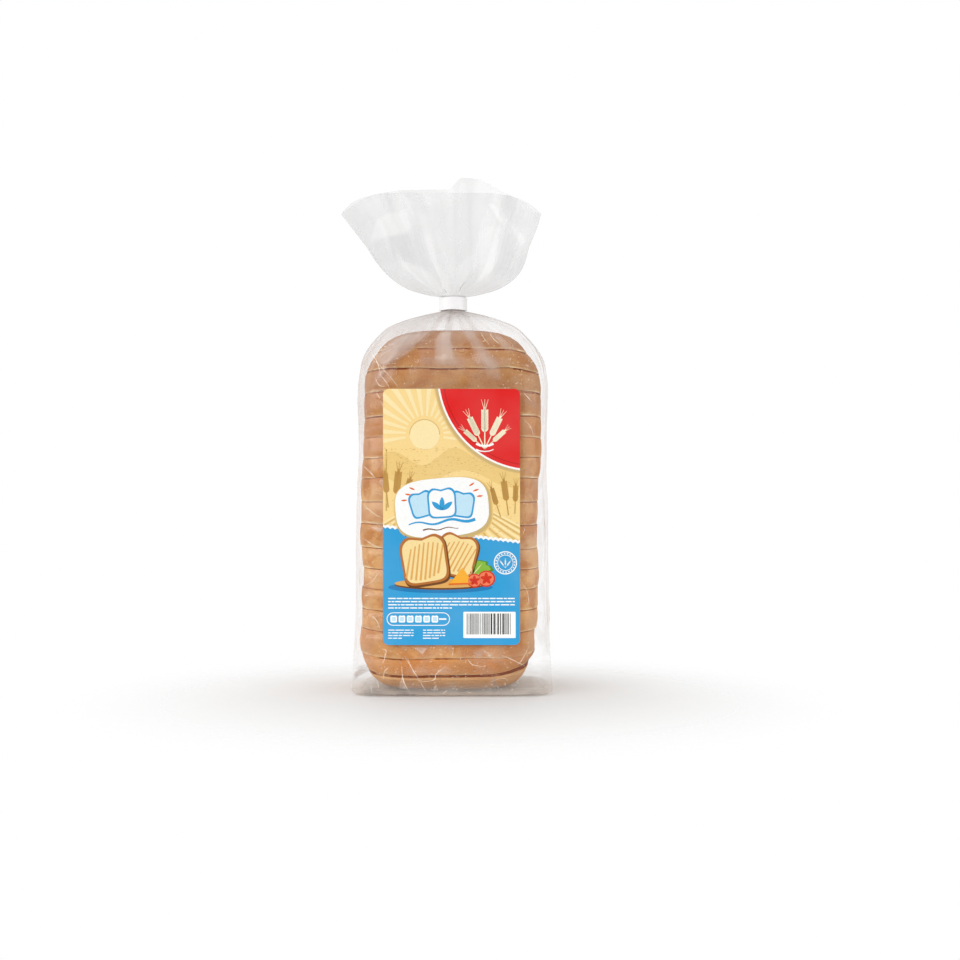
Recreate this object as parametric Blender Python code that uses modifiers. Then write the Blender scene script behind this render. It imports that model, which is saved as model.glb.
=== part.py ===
"""Sliced sandwich loaf standing on its heel in a clear bag.

Units are metres, +Z is up, and the bag's front, with the label, faces -Y.
The bag is one closed solid of the film's outer shape: body, gathered neck and flared, open ruff.
The neck tie is a tape wound round the neck, and the label lies on the bag's front.
"""

import math

import bmesh
import bpy
from mathutils import Vector, noise

MM = 0.001

# Driving dimensions of the loaf and its bag
LOAF_BOTTOM = 1.0 * MM
NECK_BOTTOM = 249.4 * MM
NECK_TOP = 259.0 * MM
NECK_HALF_WIDTH = 8.5 * MM
NECK_HALF_DEPTH = 6.7 * MM

# The slices' thickness from the lower heel to the upper one, in mm
SLICE_THICKNESS = (11.7, 11.3, 15.8, 13.5, 13.6, 13.6, 13.0, 15.1, 14.5,
                   15.2, 13.2, 13.3, 13.3, 15.8, 13.9, 13.4, 13.6)

# The bag's sections from floor to neck: height, half width, half depth, squareness
BODY_SECTIONS = [
    (0.0, 62.6, 54.6, 7.0),
    (1.6, 64.6, 57.2, 7.5),
    (4.5, 64.8, 57.8, 7.5),
    (14.0, 64.2, 57.4, 7.0),
    (40.0, 63.2, 56.8, 6.5),
    (72.0, 62.6, 56.6, 6.5),
    (110.0, 61.9, 56.4, 6.5),
    (145.0, 60.8, 56.2, 6.5),
    (172.0, 61.2, 56.3, 6.2),
    (198.0, 61.8, 56.4, 5.8),
    (208.0, 60.6, 55.6, 5.2),
    (216.0, 58.6, 53.6, 4.8),
    (224.0, 54.4, 49.6, 4.3),
    (231.0, 48.8, 44.0, 3.8),
    (237.5, 42.0, 36.8, 3.3),
    (242.0, 33.0, 27.8, 2.8),
    (245.6, 22.0, 18.2, 2.4),
    (248.0, 13.0, 10.6, 2.1),
]

# The ruff's sections from neck to mouth: share of the way, half width, half depth,
# height at the sides, height at the front and back, sideways lean
RUFF_SECTIONS = [
    (0.00, 8.5, 6.7, 259.0, 259.0, 0.0),
    (0.07, 16.6, 8.6, 260.2, 261.4, 0.0),
    (0.20, 31.1, 11.6, 264.7, 268.6, -0.2),
    (0.36, 42.6, 14.4, 273.2, 278.6, -1.5),
    (0.52, 49.0, 16.0, 282.5, 289.5, -3.3),
    (0.68, 53.6, 17.0, 292.5, 300.5, -4.8),
    (0.85, 61.0, 17.6, 304.8, 313.6, -6.8),
    (1.00, 66.2, 18.0, 314.3, 325.4, -8.7),
]
RUFF_LEVELS = 9
RUFF_WALL = 1.2 * MM
RUFF_SQUARENESS = 2.3
CAVITY_LEVELS = (1.0, 0.84, 0.68, 0.54, 0.42)
CAVITY_FLOOR_SHRINK = 0.55
CAVITY_FLOOR_DROP = 4.0 * MM
BACK_RIM_RISE = 8.5 * MM
BACK_PEAK_RISE = 8.2 * MM
BACK_PEAK_LEFT = (5.0 * MM, 15.0 * MM)
BACK_PEAK_RIGHT = (23.0 * MM, 47.0 * MM)
SIDE_DROP_POWER = 5

# Gathers of the film
PLEATS = 12
PLEAT_SECOND_HARMONIC = 0.35
PLEAT_UNEVENNESS = 0.25
PLEAT_FADE_WIDTH = 20.0 * MM
SHOULDER_PLEAT_START = 188.0 * MM
SHOULDER_PLEAT_DEPTH = 1.6 * MM
NECK_PLEAT_DEPTH = 0.9 * MM
RUFF_PLEAT_DEPTH = 1.8 * MM
RUFF_SIDE_PLEAT_SHARE = 0.25

# Folds of the ruff, round it from the front to the back: direction at the neck and at the mouth
# in degrees (-90 is straight ahead), where they start and end from neck to mouth, half width at
# the mouth and height, in mm
RUFF_FOLDS = [
    (-102, -104, 0.0, 1.15, 9.0, 3.0),
    (-122, -150, 0.0, 0.75, 8.0, 2.6),
    (-93, -92, 0.0, 0.55, 7.0, 2.0),
    (-78, -66, 0.0, 1.15, 8.0, 2.8),
    (-68, -54, 0.1, 1.15, 9.0, -2.8),
    (-58, -40, 0.2, 1.15, 8.0, 2.6),
    (-44, -22, 0.35, 1.0, 8.0, -2.0),
    (-140, -128, 0.4, 1.15, 14.0, 3.2),
    (-112, -116, 0.15, 1.15, 10.0, -2.6),
    (-96, -84, 0.6, 1.15, 12.0, -1.6),
    (2, -6, 0.2, 1.15, 6.0, 2.2),
    (24, 30, 0.1, 1.15, 8.0, -2.4),
    (46, 40, 0.3, 1.15, 7.0, 2.0),
    (70, 78, 0.0, 1.15, 9.0, 3.0),
    (92, 84, 0.25, 1.15, 6.5, -2.2),
    (112, 122, 0.0, 1.15, 8.5, 2.8),
    (134, 128, 0.35, 1.15, 7.0, -1.8),
    (156, 166, 0.15, 1.15, 9.0, 2.4),
    (178, 186, 0.3, 1.15, 6.0, -2.0),
]

# How a fold runs from neck to mouth: the power of its turn and of its ridge, its width and
# height at the neck as shares, and how softly it starts and ends
FOLD_TURN_POWER = 0.7
FOLD_NECK_POWER = 1.2
FOLD_POWER_GAIN = 0.3
FOLD_BLUNTNESS = 0.02
FOLD_NECK_WIDTH = 0.3
FOLD_NECK_HEIGHT = 0.3
FOLD_HEIGHT_GAIN = 1.6
FOLD_FADE_IN = 0.12
FOLD_FADE_OUT = 0.35
RUFF_SWELL = 2.4 * MM
RUFF_SWELL_SCALE = Vector((26.0, 26.0, 20.0))
RUFF_SWELL_OFFSET = Vector((5.0, 1.85, -3.05))

# Levels of the foot's round edge and of the shoulders above the top groove
FOOT_EDGE = 1.6 * MM
FOOT_TOP = 4.5 * MM
SHOULDER_LEVELS = (231.0 * MM, 237.0 * MM, 241.5 * MM, 245.2 * MM, 247.8 * MM)
SHARP_ANGLE = math.radians(40)

# Relief of the slices in the film that lies on them
RING_POINTS = 64
GROOVE_DEPTH = 1.3 * MM
GROOVE_HALF_WIDTH = 1.7 * MM
SIDE_RELIEF_SHARE = 0.3
SLICE_SHIFT = 0.9 * MM

# Neck tie, a tape wound round the neck with its end lapped over its start
TIE_BOTTOM = 249.9 * MM
TIE_HEIGHT = 8.4 * MM
TIE_SQUARENESS = 2.4
TIE_THICKNESS = 0.5 * MM
TIE_CLEARANCE = 0.4 * MM
TIE_LAP_ANGLE = math.radians(46)
TIE_LAP_RISE = 0.85 * MM
TIE_START_ANGLE = math.radians(62)
TIE_STEPS = 84
TIE_EDGE_WAVE = 0.25 * MM

# Label
LABEL_WIDTH = 86.5 * MM
LABEL_HEIGHT = 161.8 * MM
LABEL_BOTTOM = 32.8 * MM
LABEL_CORNER = 3.6 * MM
LABEL_THICKNESS = 0.5 * MM
LABEL_BEND = 0.3 * MM
LABEL_BEND_POWER = 6
LABEL_GAP = 0.35 * MM
LABEL_COLUMNS = 12
LABEL_ROWS = 6
CORNER_STEPS = 5


def clear_scene():
    for obj in list(bpy.data.objects):
        bpy.data.objects.remove(obj, do_unlink=True)


def make_material(name, color, roughness):
    material = bpy.data.materials.new(name)
    material.use_nodes = True
    shader = material.node_tree.nodes["Principled BSDF"]
    shader.inputs["Base Color"].default_value = (*color, 1.0)
    shader.inputs["Roughness"].default_value = roughness
    return material


def smoothstep(low, high, value):
    share = min(1.0, max(0.0, (value - low) / (high - low)))
    return share * share * (3 - 2 * share)


def along(sections, where):
    """The values of a table of sections at a place between them, on a smooth curve."""
    last = len(sections) - 1
    k = 0
    while k < last - 1 and where > sections[k + 1][0]:
        k += 1
    before = sections[max(k - 1, 0)]
    start = sections[k]
    end = sections[k + 1]
    after = sections[min(k + 2, last)]
    span = end[0] - start[0]
    share = min(1.0, max(0.0, (where - start[0]) / span))
    values = []
    for column in range(1, len(start)):
        slope_in = (end[column] - before[column]) / (end[0] - before[0]) * span
        slope_out = (after[column] - start[column]) / (after[0] - start[0]) * span
        cube = share**3
        square = share**2
        values.append(
            (2 * cube - 3 * square + 1) * start[column]
            + (cube - 2 * square + share) * slope_in
            + (3 * square - 2 * cube) * end[column]
            + (cube - square) * slope_out
        )
    return values


def superellipse(angle, half_width, half_depth, squareness):
    """A point of a rounded rectangle, and the outward direction there."""
    power = 2 / squareness
    c = math.cos(angle)
    s = math.sin(angle)
    x = half_width * math.copysign(abs(c) ** power, c)
    y = half_depth * math.copysign(abs(s) ** power, s)
    normal = Vector(
        (
            math.copysign(abs(x / half_width) ** (squareness - 1), x) / half_width,
            math.copysign(abs(y / half_depth) ** (squareness - 1), y) / half_depth,
            0,
        )
    )
    return x, y, normal.normalized()


def pleat(angle, twist):
    """The gathers' height round the bag, from -1 to 1, sharper outwards than inwards."""
    wave = math.sin(PLEATS * angle + twist)
    second = math.sin(2 * PLEATS * angle + 2 * twist + 1.1)
    uneven = 1 - PLEAT_UNEVENNESS * (1 - math.sin(3 * angle + 0.8))
    return uneven * (wave + PLEAT_SECOND_HARMONIC * second) / (1 + PLEAT_SECOND_HARMONIC)


def slice_borders():
    """Heights of the gaps between the slices."""
    borders = []
    height = LOAF_BOTTOM
    for thickness in SLICE_THICKNESS[:-1]:
        height += thickness * MM
        borders.append(height)
    return borders


def slice_shift(index):
    """How far one slice sits out of line with the rest."""
    return Vector(
        (
            SLICE_SHIFT * math.sin(2.1 * index + 0.4),
            0.5 * SLICE_SHIFT * math.sin(3.7 * index + 1.9),
            0,
        )
    )


def body_ring(height, groove, shift):
    half_width, half_depth, squareness = along(BODY_SECTIONS, height / MM)
    half_width *= MM
    half_depth *= MM
    gathered = smoothstep(SHOULDER_PLEAT_START, NECK_BOTTOM, height)
    pleat_depth = SHOULDER_PLEAT_DEPTH * gathered * min(1.0, half_width / PLEAT_FADE_WIDTH)
    ring = []
    for k in range(RING_POINTS):
        angle = 2 * math.pi * k / RING_POINTS
        x, y, normal = superellipse(angle, half_width, half_depth, squareness)
        tight = SIDE_RELIEF_SHARE + (1 - SIDE_RELIEF_SHARE) * abs(normal.y)
        out = pleat_depth * pleat(angle, 0.0) - groove * tight
        ring.append(Vector((x, y, height)) + normal * out + shift * tight)
    return ring


def neck_ring(height):
    ring = []
    for k in range(RING_POINTS):
        angle = 2 * math.pi * k / RING_POINTS
        x, y, normal = superellipse(angle, NECK_HALF_WIDTH, NECK_HALF_DEPTH, 2.0)
        out = NECK_PLEAT_DEPTH * (pleat(angle, 0.0) - 1)
        ring.append(Vector((x, y, height)) + normal * out)
    return ring


def fold_rise(angle, share, half_width, fold):
    """How far one fold lifts the ruff at an angle and a share of the way to the mouth."""
    at_neck, at_mouth, start, end, width, height = fold
    middle = math.radians(at_neck + (at_mouth - at_neck) * share**FOLD_TURN_POWER)
    away = abs((angle - middle + math.pi) % (2 * math.pi) - math.pi)
    spread = width * (FOLD_NECK_WIDTH + (1 - FOLD_NECK_WIDTH) * share)
    flank = math.sqrt((away * half_width / spread) ** 2 + FOLD_BLUNTNESS)
    ridge = math.exp(-(flank ** (FOLD_NECK_POWER + FOLD_POWER_GAIN * share)))
    starting = smoothstep(start - FOLD_FADE_IN, start + FOLD_FADE_IN, share)
    ending = 1 - smoothstep(end - FOLD_FADE_OUT, end, share)
    grown = min(1.0, FOLD_NECK_HEIGHT + FOLD_HEIGHT_GAIN * share)
    return height * MM * ridge * starting * ending * grown


def swell(point):
    """The ruff's soft unevenness at a point, from about -1 to 1."""
    return noise.noise(point * RUFF_SWELL_SCALE + RUFF_SWELL_OFFSET)


def rim_rise(x, angle, to_side):
    """How far the mouth's back stands over its front: a low edge with one flat peak."""
    peak = smoothstep(*BACK_PEAK_LEFT, x) * (1 - smoothstep(*BACK_PEAK_RIGHT, x))
    return max(0.0, math.sin(angle)) * (BACK_RIM_RISE + BACK_PEAK_RISE * peak) * (1 - to_side)


def ruff_ring(share, inset):
    """A ring of the ruff, inset from its outer face. The mouth droops at both sides."""
    half_width, half_depth, side_z, front_z, lean = along(RUFF_SECTIONS, share)
    pleat_depth = RUFF_PLEAT_DEPTH * share + NECK_PLEAT_DEPTH * (1 - share)
    ring = []
    for k in range(RING_POINTS):
        angle = 2 * math.pi * k / RING_POINTS
        x, y, normal = superellipse(angle, half_width * MM, half_depth * MM, RUFF_SQUARENESS)
        to_side = abs(math.cos(angle)) ** SIDE_DROP_POWER
        z = front_z * MM + (side_z - front_z) * MM * to_side
        z += share**2 * rim_rise(x, angle, to_side)
        evened = 1 - (1 - RUFF_SIDE_PLEAT_SHARE) * to_side
        point = Vector((x + lean * MM, y, z))
        out = pleat_depth * pleat(angle, 0.5 * share) * evened - inset
        out += RUFF_SWELL * share * swell(point)
        out += sum(fold_rise(angle, share, half_width, fold) for fold in RUFF_FOLDS)
        ring.append(point + normal * out)
    return ring


def cavity_floor(ring):
    """The lowest ring of the mouth's hollow, drawn in and level."""
    centre = sum(ring, Vector()) / len(ring)
    floor = []
    for point in ring:
        drawn_in = centre + (point - centre) * CAVITY_FLOOR_SHRINK
        floor.append(Vector((drawn_in.x, drawn_in.y, centre.z - CAVITY_FLOOR_DROP)))
    return floor


def loft(name, rings, collection):
    """A closed solid through rings of equally many points, capped at both ends."""
    mesh = bmesh.new()
    levels = [[mesh.verts.new(point) for point in ring] for ring in rings]
    for lower, upper in zip(levels, levels[1:]):
        for k in range(len(lower)):
            following = (k + 1) % len(lower)
            mesh.faces.new((lower[k], lower[following], upper[following], upper[k]))
    mesh.faces.new(reversed(levels[0]))
    mesh.faces.new(levels[-1])
    bmesh.ops.recalc_face_normals(mesh, faces=mesh.faces)
    data = bpy.data.meshes.new(name)
    mesh.to_mesh(data)
    mesh.free()
    obj = bpy.data.objects.new(name, data)
    collection.objects.link(obj)
    return obj


def make_bag(collection):
    rings = [body_ring(0.0, 0.0, Vector()), body_ring(FOOT_EDGE, 0.0, Vector())]
    rings.append(body_ring(FOOT_TOP, 0.0, slice_shift(0)))
    for index, border in enumerate(slice_borders()):
        rings.append(body_ring(border - GROOVE_HALF_WIDTH, 0.0, slice_shift(index)))
        rings.append(body_ring(border, GROOVE_DEPTH, slice_shift(index + 0.5)))
        rings.append(body_ring(border + GROOVE_HALF_WIDTH, 0.0, slice_shift(index + 1)))
    for height in SHOULDER_LEVELS:
        rings.append(body_ring(height, 0.0, Vector()))
    rings.append(neck_ring(NECK_BOTTOM))
    rings.append(neck_ring(NECK_TOP))
    for level in range(1, RUFF_LEVELS + 1):
        rings.append(ruff_ring(level / RUFF_LEVELS, 0.0))
    for share in CAVITY_LEVELS:
        rings.append(ruff_ring(share, RUFF_WALL))
    rings.append(cavity_floor(ruff_ring(CAVITY_LEVELS[-1], RUFF_WALL)))
    bag = loft("bag", rings, collection)
    bag.data.materials.append(make_material("film", (0.80, 0.62, 0.46), 0.3))
    bag.data.shade_smooth()
    bag.data.set_sharp_from_angle(angle=SHARP_ANGLE)
    return bag


def make_tie(collection):
    """The tape: a strip wound a little over one turn, thickened by Solidify."""
    total = 2 * math.pi + TIE_LAP_ANGLE
    mesh = bmesh.new()
    previous = None
    for step in range(TIE_STEPS + 1):
        turned = total * step / TIE_STEPS
        angle = TIE_START_ANGLE + turned
        lap = TIE_LAP_RISE * smoothstep(2 * math.pi - TIE_LAP_ANGLE, 2 * math.pi, turned)
        half_width = NECK_HALF_WIDTH + TIE_CLEARANCE + lap
        half_depth = NECK_HALF_DEPTH + TIE_CLEARANCE + lap
        x, y, _ = superellipse(angle, half_width, half_depth, TIE_SQUARENESS)
        wave = TIE_EDGE_WAVE * math.sin(3 * angle)
        low = mesh.verts.new((x, y, TIE_BOTTOM + wave))
        high = mesh.verts.new((x, y, TIE_BOTTOM + TIE_HEIGHT + wave))
        if previous:
            mesh.faces.new((previous[0], low, high, previous[1]))
        previous = (low, high)
    data = bpy.data.meshes.new("neck_tie")
    mesh.to_mesh(data)
    mesh.free()
    tie = bpy.data.objects.new("neck_tie", data)
    collection.objects.link(tie)
    thicken = tie.modifiers.new("thickness", "SOLIDIFY")
    thicken.thickness = TIE_THICKNESS
    thicken.offset = 1.0
    tie.data.materials.append(make_material("tie_white", (0.92, 0.92, 0.91), 0.45))
    return tie


def rounded_outline():
    """The label's outline about its centre, with round corners."""
    points = []
    for quarter in range(4):
        sign_x = 1 if quarter in (0, 3) else -1
        sign_z = 1 if quarter in (0, 1) else -1
        centre_x = sign_x * (LABEL_WIDTH / 2 - LABEL_CORNER)
        centre_z = sign_z * (LABEL_HEIGHT / 2 - LABEL_CORNER)
        for step in range(CORNER_STEPS + 1):
            angle = math.radians(90) * (quarter + step / CORNER_STEPS)
            points.append(
                (
                    centre_x + LABEL_CORNER * math.cos(angle),
                    centre_z + LABEL_CORNER * math.sin(angle),
                )
            )
    return points


def make_label(front, collection):
    """A sheet with round corners, cut into columns and rows, bent back at its sides and thickened."""
    centre_z = LABEL_BOTTOM + LABEL_HEIGHT / 2
    mesh = bmesh.new()
    face = mesh.faces.new(
        [mesh.verts.new((x, 0, centre_z + z)) for x, z in rounded_outline()]
    )
    face.normal_update()
    cuts = [
        (Vector((LABEL_WIDTH * (k / LABEL_COLUMNS - 0.5), 0, 0)), Vector((1, 0, 0)))
        for k in range(1, LABEL_COLUMNS)
    ]
    cuts += [
        (Vector((0, 0, LABEL_BOTTOM + LABEL_HEIGHT * k / LABEL_ROWS)), Vector((0, 0, 1)))
        for k in range(1, LABEL_ROWS)
    ]
    for point, direction in cuts:
        bmesh.ops.bisect_plane(
            mesh,
            geom=mesh.verts[:] + mesh.edges[:] + mesh.faces[:],
            plane_co=point,
            plane_no=direction,
        )
    for vert in mesh.verts:
        across = vert.co.x / (LABEL_WIDTH / 2)
        vert.co.y = front - LABEL_GAP + LABEL_BEND * across**LABEL_BEND_POWER
    bmesh.ops.recalc_face_normals(mesh, faces=mesh.faces)
    data = bpy.data.meshes.new("label")
    mesh.to_mesh(data)
    mesh.free()
    label = bpy.data.objects.new("label", data)
    collection.objects.link(label)
    facing_front = data.polygons[0].normal.y < 0
    thicken = label.modifiers.new("thickness", "SOLIDIFY")
    thicken.thickness = LABEL_THICKNESS
    thicken.offset = 1.0 if facing_front else -1.0
    label.data.materials.append(make_material("label_print", (0.10, 0.42, 0.74), 0.35))
    return label


def front_of(bag):
    """The foremost plane of the bag where the label lies."""
    return min(
        vert.co.y
        for vert in bag.data.vertices
        if abs(vert.co.x) < LABEL_WIDTH / 2
        and LABEL_BOTTOM < vert.co.z < LABEL_BOTTOM + LABEL_HEIGHT
    )


def centre_on_base(objects):
    """An empty that carries the parts, placed so that the origin is under the whole."""
    bpy.context.view_layer.update()
    corners = [obj.matrix_world @ Vector(c) for obj in objects for c in obj.bound_box]
    middle_x = (min(c.x for c in corners) + max(c.x for c in corners)) / 2
    middle_y = (min(c.y for c in corners) + max(c.y for c in corners)) / 2
    base = bpy.data.objects.new("base_centre", None)
    bpy.context.scene.collection.objects.link(base)
    base.location = (-middle_x, -middle_y, 0)
    for obj in objects:
        obj.parent = base


def main():
    clear_scene()
    collection = bpy.data.collections.new("loaf_in_bread_bag")
    bpy.context.scene.collection.children.link(collection)
    bag = make_bag(collection)
    tie = make_tie(collection)
    label = make_label(front_of(bag), collection)
    centre_on_base([bag, tie, label])


main()
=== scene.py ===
"""The looks of a sliced sandwich loaf that stands in its clear bag.

The camera and lights come first, then the slices, the film round them with its creases,
the neck tape's finish and the printed label. Lengths are metres, in the frame's axes.
"""

import math
import random

import bmesh
import bpy
import numpy as np
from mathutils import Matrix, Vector, noise
from mathutils.bvhtree import BVHTree


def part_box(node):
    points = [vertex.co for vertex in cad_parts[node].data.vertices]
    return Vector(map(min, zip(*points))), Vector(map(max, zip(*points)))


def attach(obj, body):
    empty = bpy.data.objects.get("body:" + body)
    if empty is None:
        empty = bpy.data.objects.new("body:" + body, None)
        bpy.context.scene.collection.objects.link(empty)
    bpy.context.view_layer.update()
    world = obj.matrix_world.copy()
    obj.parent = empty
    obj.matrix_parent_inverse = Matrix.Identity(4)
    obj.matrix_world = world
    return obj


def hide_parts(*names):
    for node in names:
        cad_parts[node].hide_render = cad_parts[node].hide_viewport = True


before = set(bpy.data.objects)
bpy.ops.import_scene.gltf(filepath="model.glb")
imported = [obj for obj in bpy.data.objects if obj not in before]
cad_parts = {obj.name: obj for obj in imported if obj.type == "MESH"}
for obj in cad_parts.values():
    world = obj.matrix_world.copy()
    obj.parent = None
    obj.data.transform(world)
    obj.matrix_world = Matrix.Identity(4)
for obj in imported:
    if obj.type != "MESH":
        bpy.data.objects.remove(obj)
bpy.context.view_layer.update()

MM = 0.001
SEED = 7

# The largest random phase of a wave, in radians
LARGEST_PHASE = 6.28

# The photograph: its size and scale at the loaf's sides, and where its middle and the loaf's are
PHOTO_PIXELS = 960
PIXEL = 0.6425 * MM
AXIS_PIXEL = 452
CENTRE_PIXEL = 480
CAMERA_DISTANCE = 1.05
CAMERA_HEIGHT = 137.0 * MM
SENSOR_WIDTH = 36.0
SCALE_PLANE = -40.0 * MM

# The floor's disc, which fades out from one radius to the other
FLOOR_SOLID_RADIUS = 0.06
FLOOR_RADIUS = 0.25
FLOOR_FORWARD = 0.06
FLOOR_DROP = 0.05 * MM
FLOOR_CORNERS = 96
FLOOR_SHADES = ((0.71, 0.713, 0.71, 1), (0.74, 0.742, 0.738, 1))
WHITE = (1, 1, 1, 1)

# The lights: name, place, size, power in watts and target, in metres from the loaf's foot
LIGHTS = (
    ("key", (-0.9, -1.1, 0.75), (1.3, 1.3), 14.0, (0, 0, 0.13)),
    ("fill", (1.2, -1.0, 0.35), (1.3, 1.3), 9.0, (0, 0, 0.13)),
    ("top", (0.0, 0.3, 1.5), (1.6, 1.2), 3.0, (0, 0, 0.1)),
)

# How bright the studio round the loaf is along each axis: from and to, and the shares there
STUDIO_HEIGHT = (-0.2, 0.9, 0.72, 1.0)
STUDIO_SIDE = (-0.9, 0.9, 1.08, 0.86)
STUDIO_DEPTH = (-1.0, 0.0, 0.36, 1.05)
MOST_CLEAR_SHEETS = 40

# The loaf: slice thickness from the lower heel to the upper one, in mm
SLICE_THICKNESS = (11.7, 11.3, 15.8, 13.5, 13.6, 13.6, 13.0, 15.1, 14.5,
                   15.2, 13.2, 13.3, 13.3, 15.8, 13.9, 13.4, 13.6)
LOAF_BOTTOM = 1.0 * MM
SLICE_GAP = 0.05 * MM
SLICE_POINTS = 300
OUTLINE_STEPS = 1441

# How far each slice is shifted to the right, and how dark the line under it is, from the
# lower heel up: in mm and as a share. The line is browned crust edge with painted shadow in the gap
SLICE_SHIFT = (-2.4, -2.6, -3.4, -1.4, -2.0, -0.7, -1.6, -2.7, -1.7,
               -2.2, -0.4, 0.1, 0.2, -0.1, 0.0, 0.3, 0.2)
LINE_DARKNESS = (0.0, 1.5, 0.8, 0.7, 0.8, 0.6, 0.8, 0.7, 0.8, 0.8, 0.7, 0.8, 0.7, 0.9, 1.1, 1.2, 1.1)
LINE_WIDTH = 0.42 * MM
LINE_WIDTHS = {1: 3.8, 2: 1.8, 13: 1.8, 14: 2.8, 15: 2.5, 16: 2.4, 17: 3.0}

# Where the line in a gap, browned edge and painted shadow, is dark along the front: from and to,
# in mm across, and how dark
LINE_SPANS = {
    1: ((-52, -39, 0.7), (-39, -22, 1.0), (-22, -10, 1.5), (-10, -2, 0.9), (-2, 46, 1.7), (46, 54, 0.7)),
    2: ((-46, -31, 0.9), (-31, -23, 0.3), (-23, -14, 0.6), (-10.5, 3, 1.3), (3, 8, 0.7), (8, 26, 0.25)),
    14: ((-52, -33, 0.9), (-33, 26, 1.5), (26, 55, 0.9)),
    15: ((-52, -43, 0.7), (-43, -28, 1.5), (-28, -14.5, 0.3), (-13.5, 4, 1.4), (4, 21, 0.7),
         (21, 39, 0.25), (39, 44, 1.2), (44, 56, 0.9)),
    16: ((-41, -26, 0.6), (-21.5, -10.6, 1.2), (-10.6, -1, 0.4), (-1, 12, 1.1), (12, 20.5, 0.35),
         (20.5, 33.6, 1.5), (33.6, 43, 0.9), (43, 54, 0.4)),
}
LINE_SPAN_END = 0.8 * MM
USUAL_LINE_DARKNESS = 0.5
FRONT_FACE = -42.0 * MM

# The cuts: how far they tilt and wave in mm, and how they sag at the loaf's upright corners
CUT_TILT_ACROSS = 0.35
CUT_TILT_INWARD = 0.4
CUT_WAVE = 0.24
CUT_RIPPLE = 0.13
CUT_HALF_WIDTH = 58 * MM
CUT_HALF_DEPTH = 55 * MM
CORNER_START = 0.64
CORNER_POWER = 1.3
SAG_CENTRE = 122.0 * MM
SAG_REACH = 110.0 * MM
LEFT_SAG = 2.8 * MM
RIGHT_SAG = 5.5 * MM
CURL_START = 15.0 * MM
CURL_REACH = 36.0 * MM
CURL_RISE = 8.2 * MM
CURL_POWER = 2.2
CURL_LARGEST = 1.1

# Each slice's own shape: roundings of its cut edges, changes of its size, waves and lean, in mm
LOWER_ROUND = (0.3, 0.5)
UPPER_ROUND = (0.35, 0.6)
WIDTH_CHANGE = (-0.2, 0.2)
DEPTH_CHANGE = (-0.25, 0.1)
SIDE_WAVE = 0.25
SIDE_RIPPLE = 0.18
SLICE_LEAN = 0.5
DEPTH_SHIFT = 0.3

# How far a slice's cuts follow its neighbours' shift, and its side's low swell between them
NEIGHBOUR_SHARE = 0.35
SIDE_SWELL = 0.12 * MM
MIDDLE_SWELL = 0.18 * MM

# The rings on a slice's cuts, as shares of its outline, and how browned they are
CUT_RINGS = (0.02, 0.4, 0.75, 0.955)
CUT_BROWNNESS = 0.3

# How dark and how warm the slices' crust is, by the height of their lower cut
UPPER_TONE = 1.15
UPPER_TONE_HEIGHTS = (95 * MM, 215 * MM)
TOP_SLICE_TONE = 0.5
BOTTOM_SLICE_PALER = 0.5
LARGEST_EXTRA_TONE = 0.25
LARGEST_EXTRA_WARMTH = 0.35
LOW_WARMTH = 0.65
LOW_WARM_HEIGHTS = (12 * MM, 50 * MM)
BAND_WARMTH = 0.9
WARM_BAND_BOTTOM = (135 * MM, 150 * MM)
WARM_BAND_TOP = (172 * MM, 186 * MM)

# The pale crumb along a slice's lower edge, partly a painted highlight: its strength, its gain at the sides,
# its patches
CREAM_STRENGTH = 0.36
CREAM_AT_SIDE = 0.75
CREAM_PATCHES = 0.25
CREAM_RINGS = 3
CREAM_FADE = 0.3

# Where the lowest line shows clearest through the film, and how far round it
LOWEST_LINE = 12.4 * MM
LINE_CLEARING = 1.9 * MM

# The loaf's outline from floor to top: height, half width and half depth in mm, and squareness
LOAF_SECTIONS = [
    (1.0, 34.0, 32.0, 3.2),
    (3.6, 43.0, 41.0, 3.8),
    (7.5, 49.0, 46.5, 4.4),
    (14.0, 53.6, 51.0, 5.0),
    (25.0, 57.0, 54.4, 5.6),
    (36.0, 56.9, 55.4, 5.6),
    (60.0, 57.2, 55.5, 5.4),
    (100.0, 57.3, 55.4, 5.2),
    (150.0, 58.0, 55.5, 5.2),
    (185.0, 57.6, 55.4, 5.2),
    (206.0, 57.0, 54.4, 5.0),
    (216.0, 53.0, 50.6, 5.2),
    (224.0, 47.0, 44.6, 4.6),
    (229.0, 41.5, 38.6, 4.0),
    (233.0, 33.0, 30.0, 3.5),
    (234.8, 25.0, 22.0, 3.2),
]

# The bag's outline from floor to neck: height, half width and half depth in mm, and squareness
BODY_SECTIONS = [
    (0.0, 62.6, 54.6, 7.0),
    (1.6, 64.6, 57.2, 7.5),
    (4.5, 64.8, 57.8, 7.5),
    (14.0, 64.2, 57.4, 7.0),
    (40.0, 63.2, 56.8, 6.5),
    (72.0, 62.6, 56.6, 6.5),
    (110.0, 61.9, 56.4, 6.5),
    (145.0, 60.8, 56.2, 6.5),
    (172.0, 61.2, 56.3, 6.2),
    (198.0, 61.8, 56.4, 5.8),
    (208.0, 60.6, 55.6, 5.2),
    (216.0, 58.6, 53.6, 4.8),
    (224.0, 54.4, 49.6, 4.3),
    (231.0, 48.8, 44.0, 3.8),
    (237.5, 42.0, 36.8, 3.3),
    (242.0, 33.0, 27.8, 2.8),
    (245.6, 22.0, 18.2, 2.4),
    (248.0, 13.0, 10.6, 2.1),
]
NECK_BOTTOM = 249.4 * MM
NECK_TOP = 259.0 * MM
NECK_HALF_WIDTH = 8.5 * MM
NECK_HALF_DEPTH = 6.7 * MM

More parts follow.
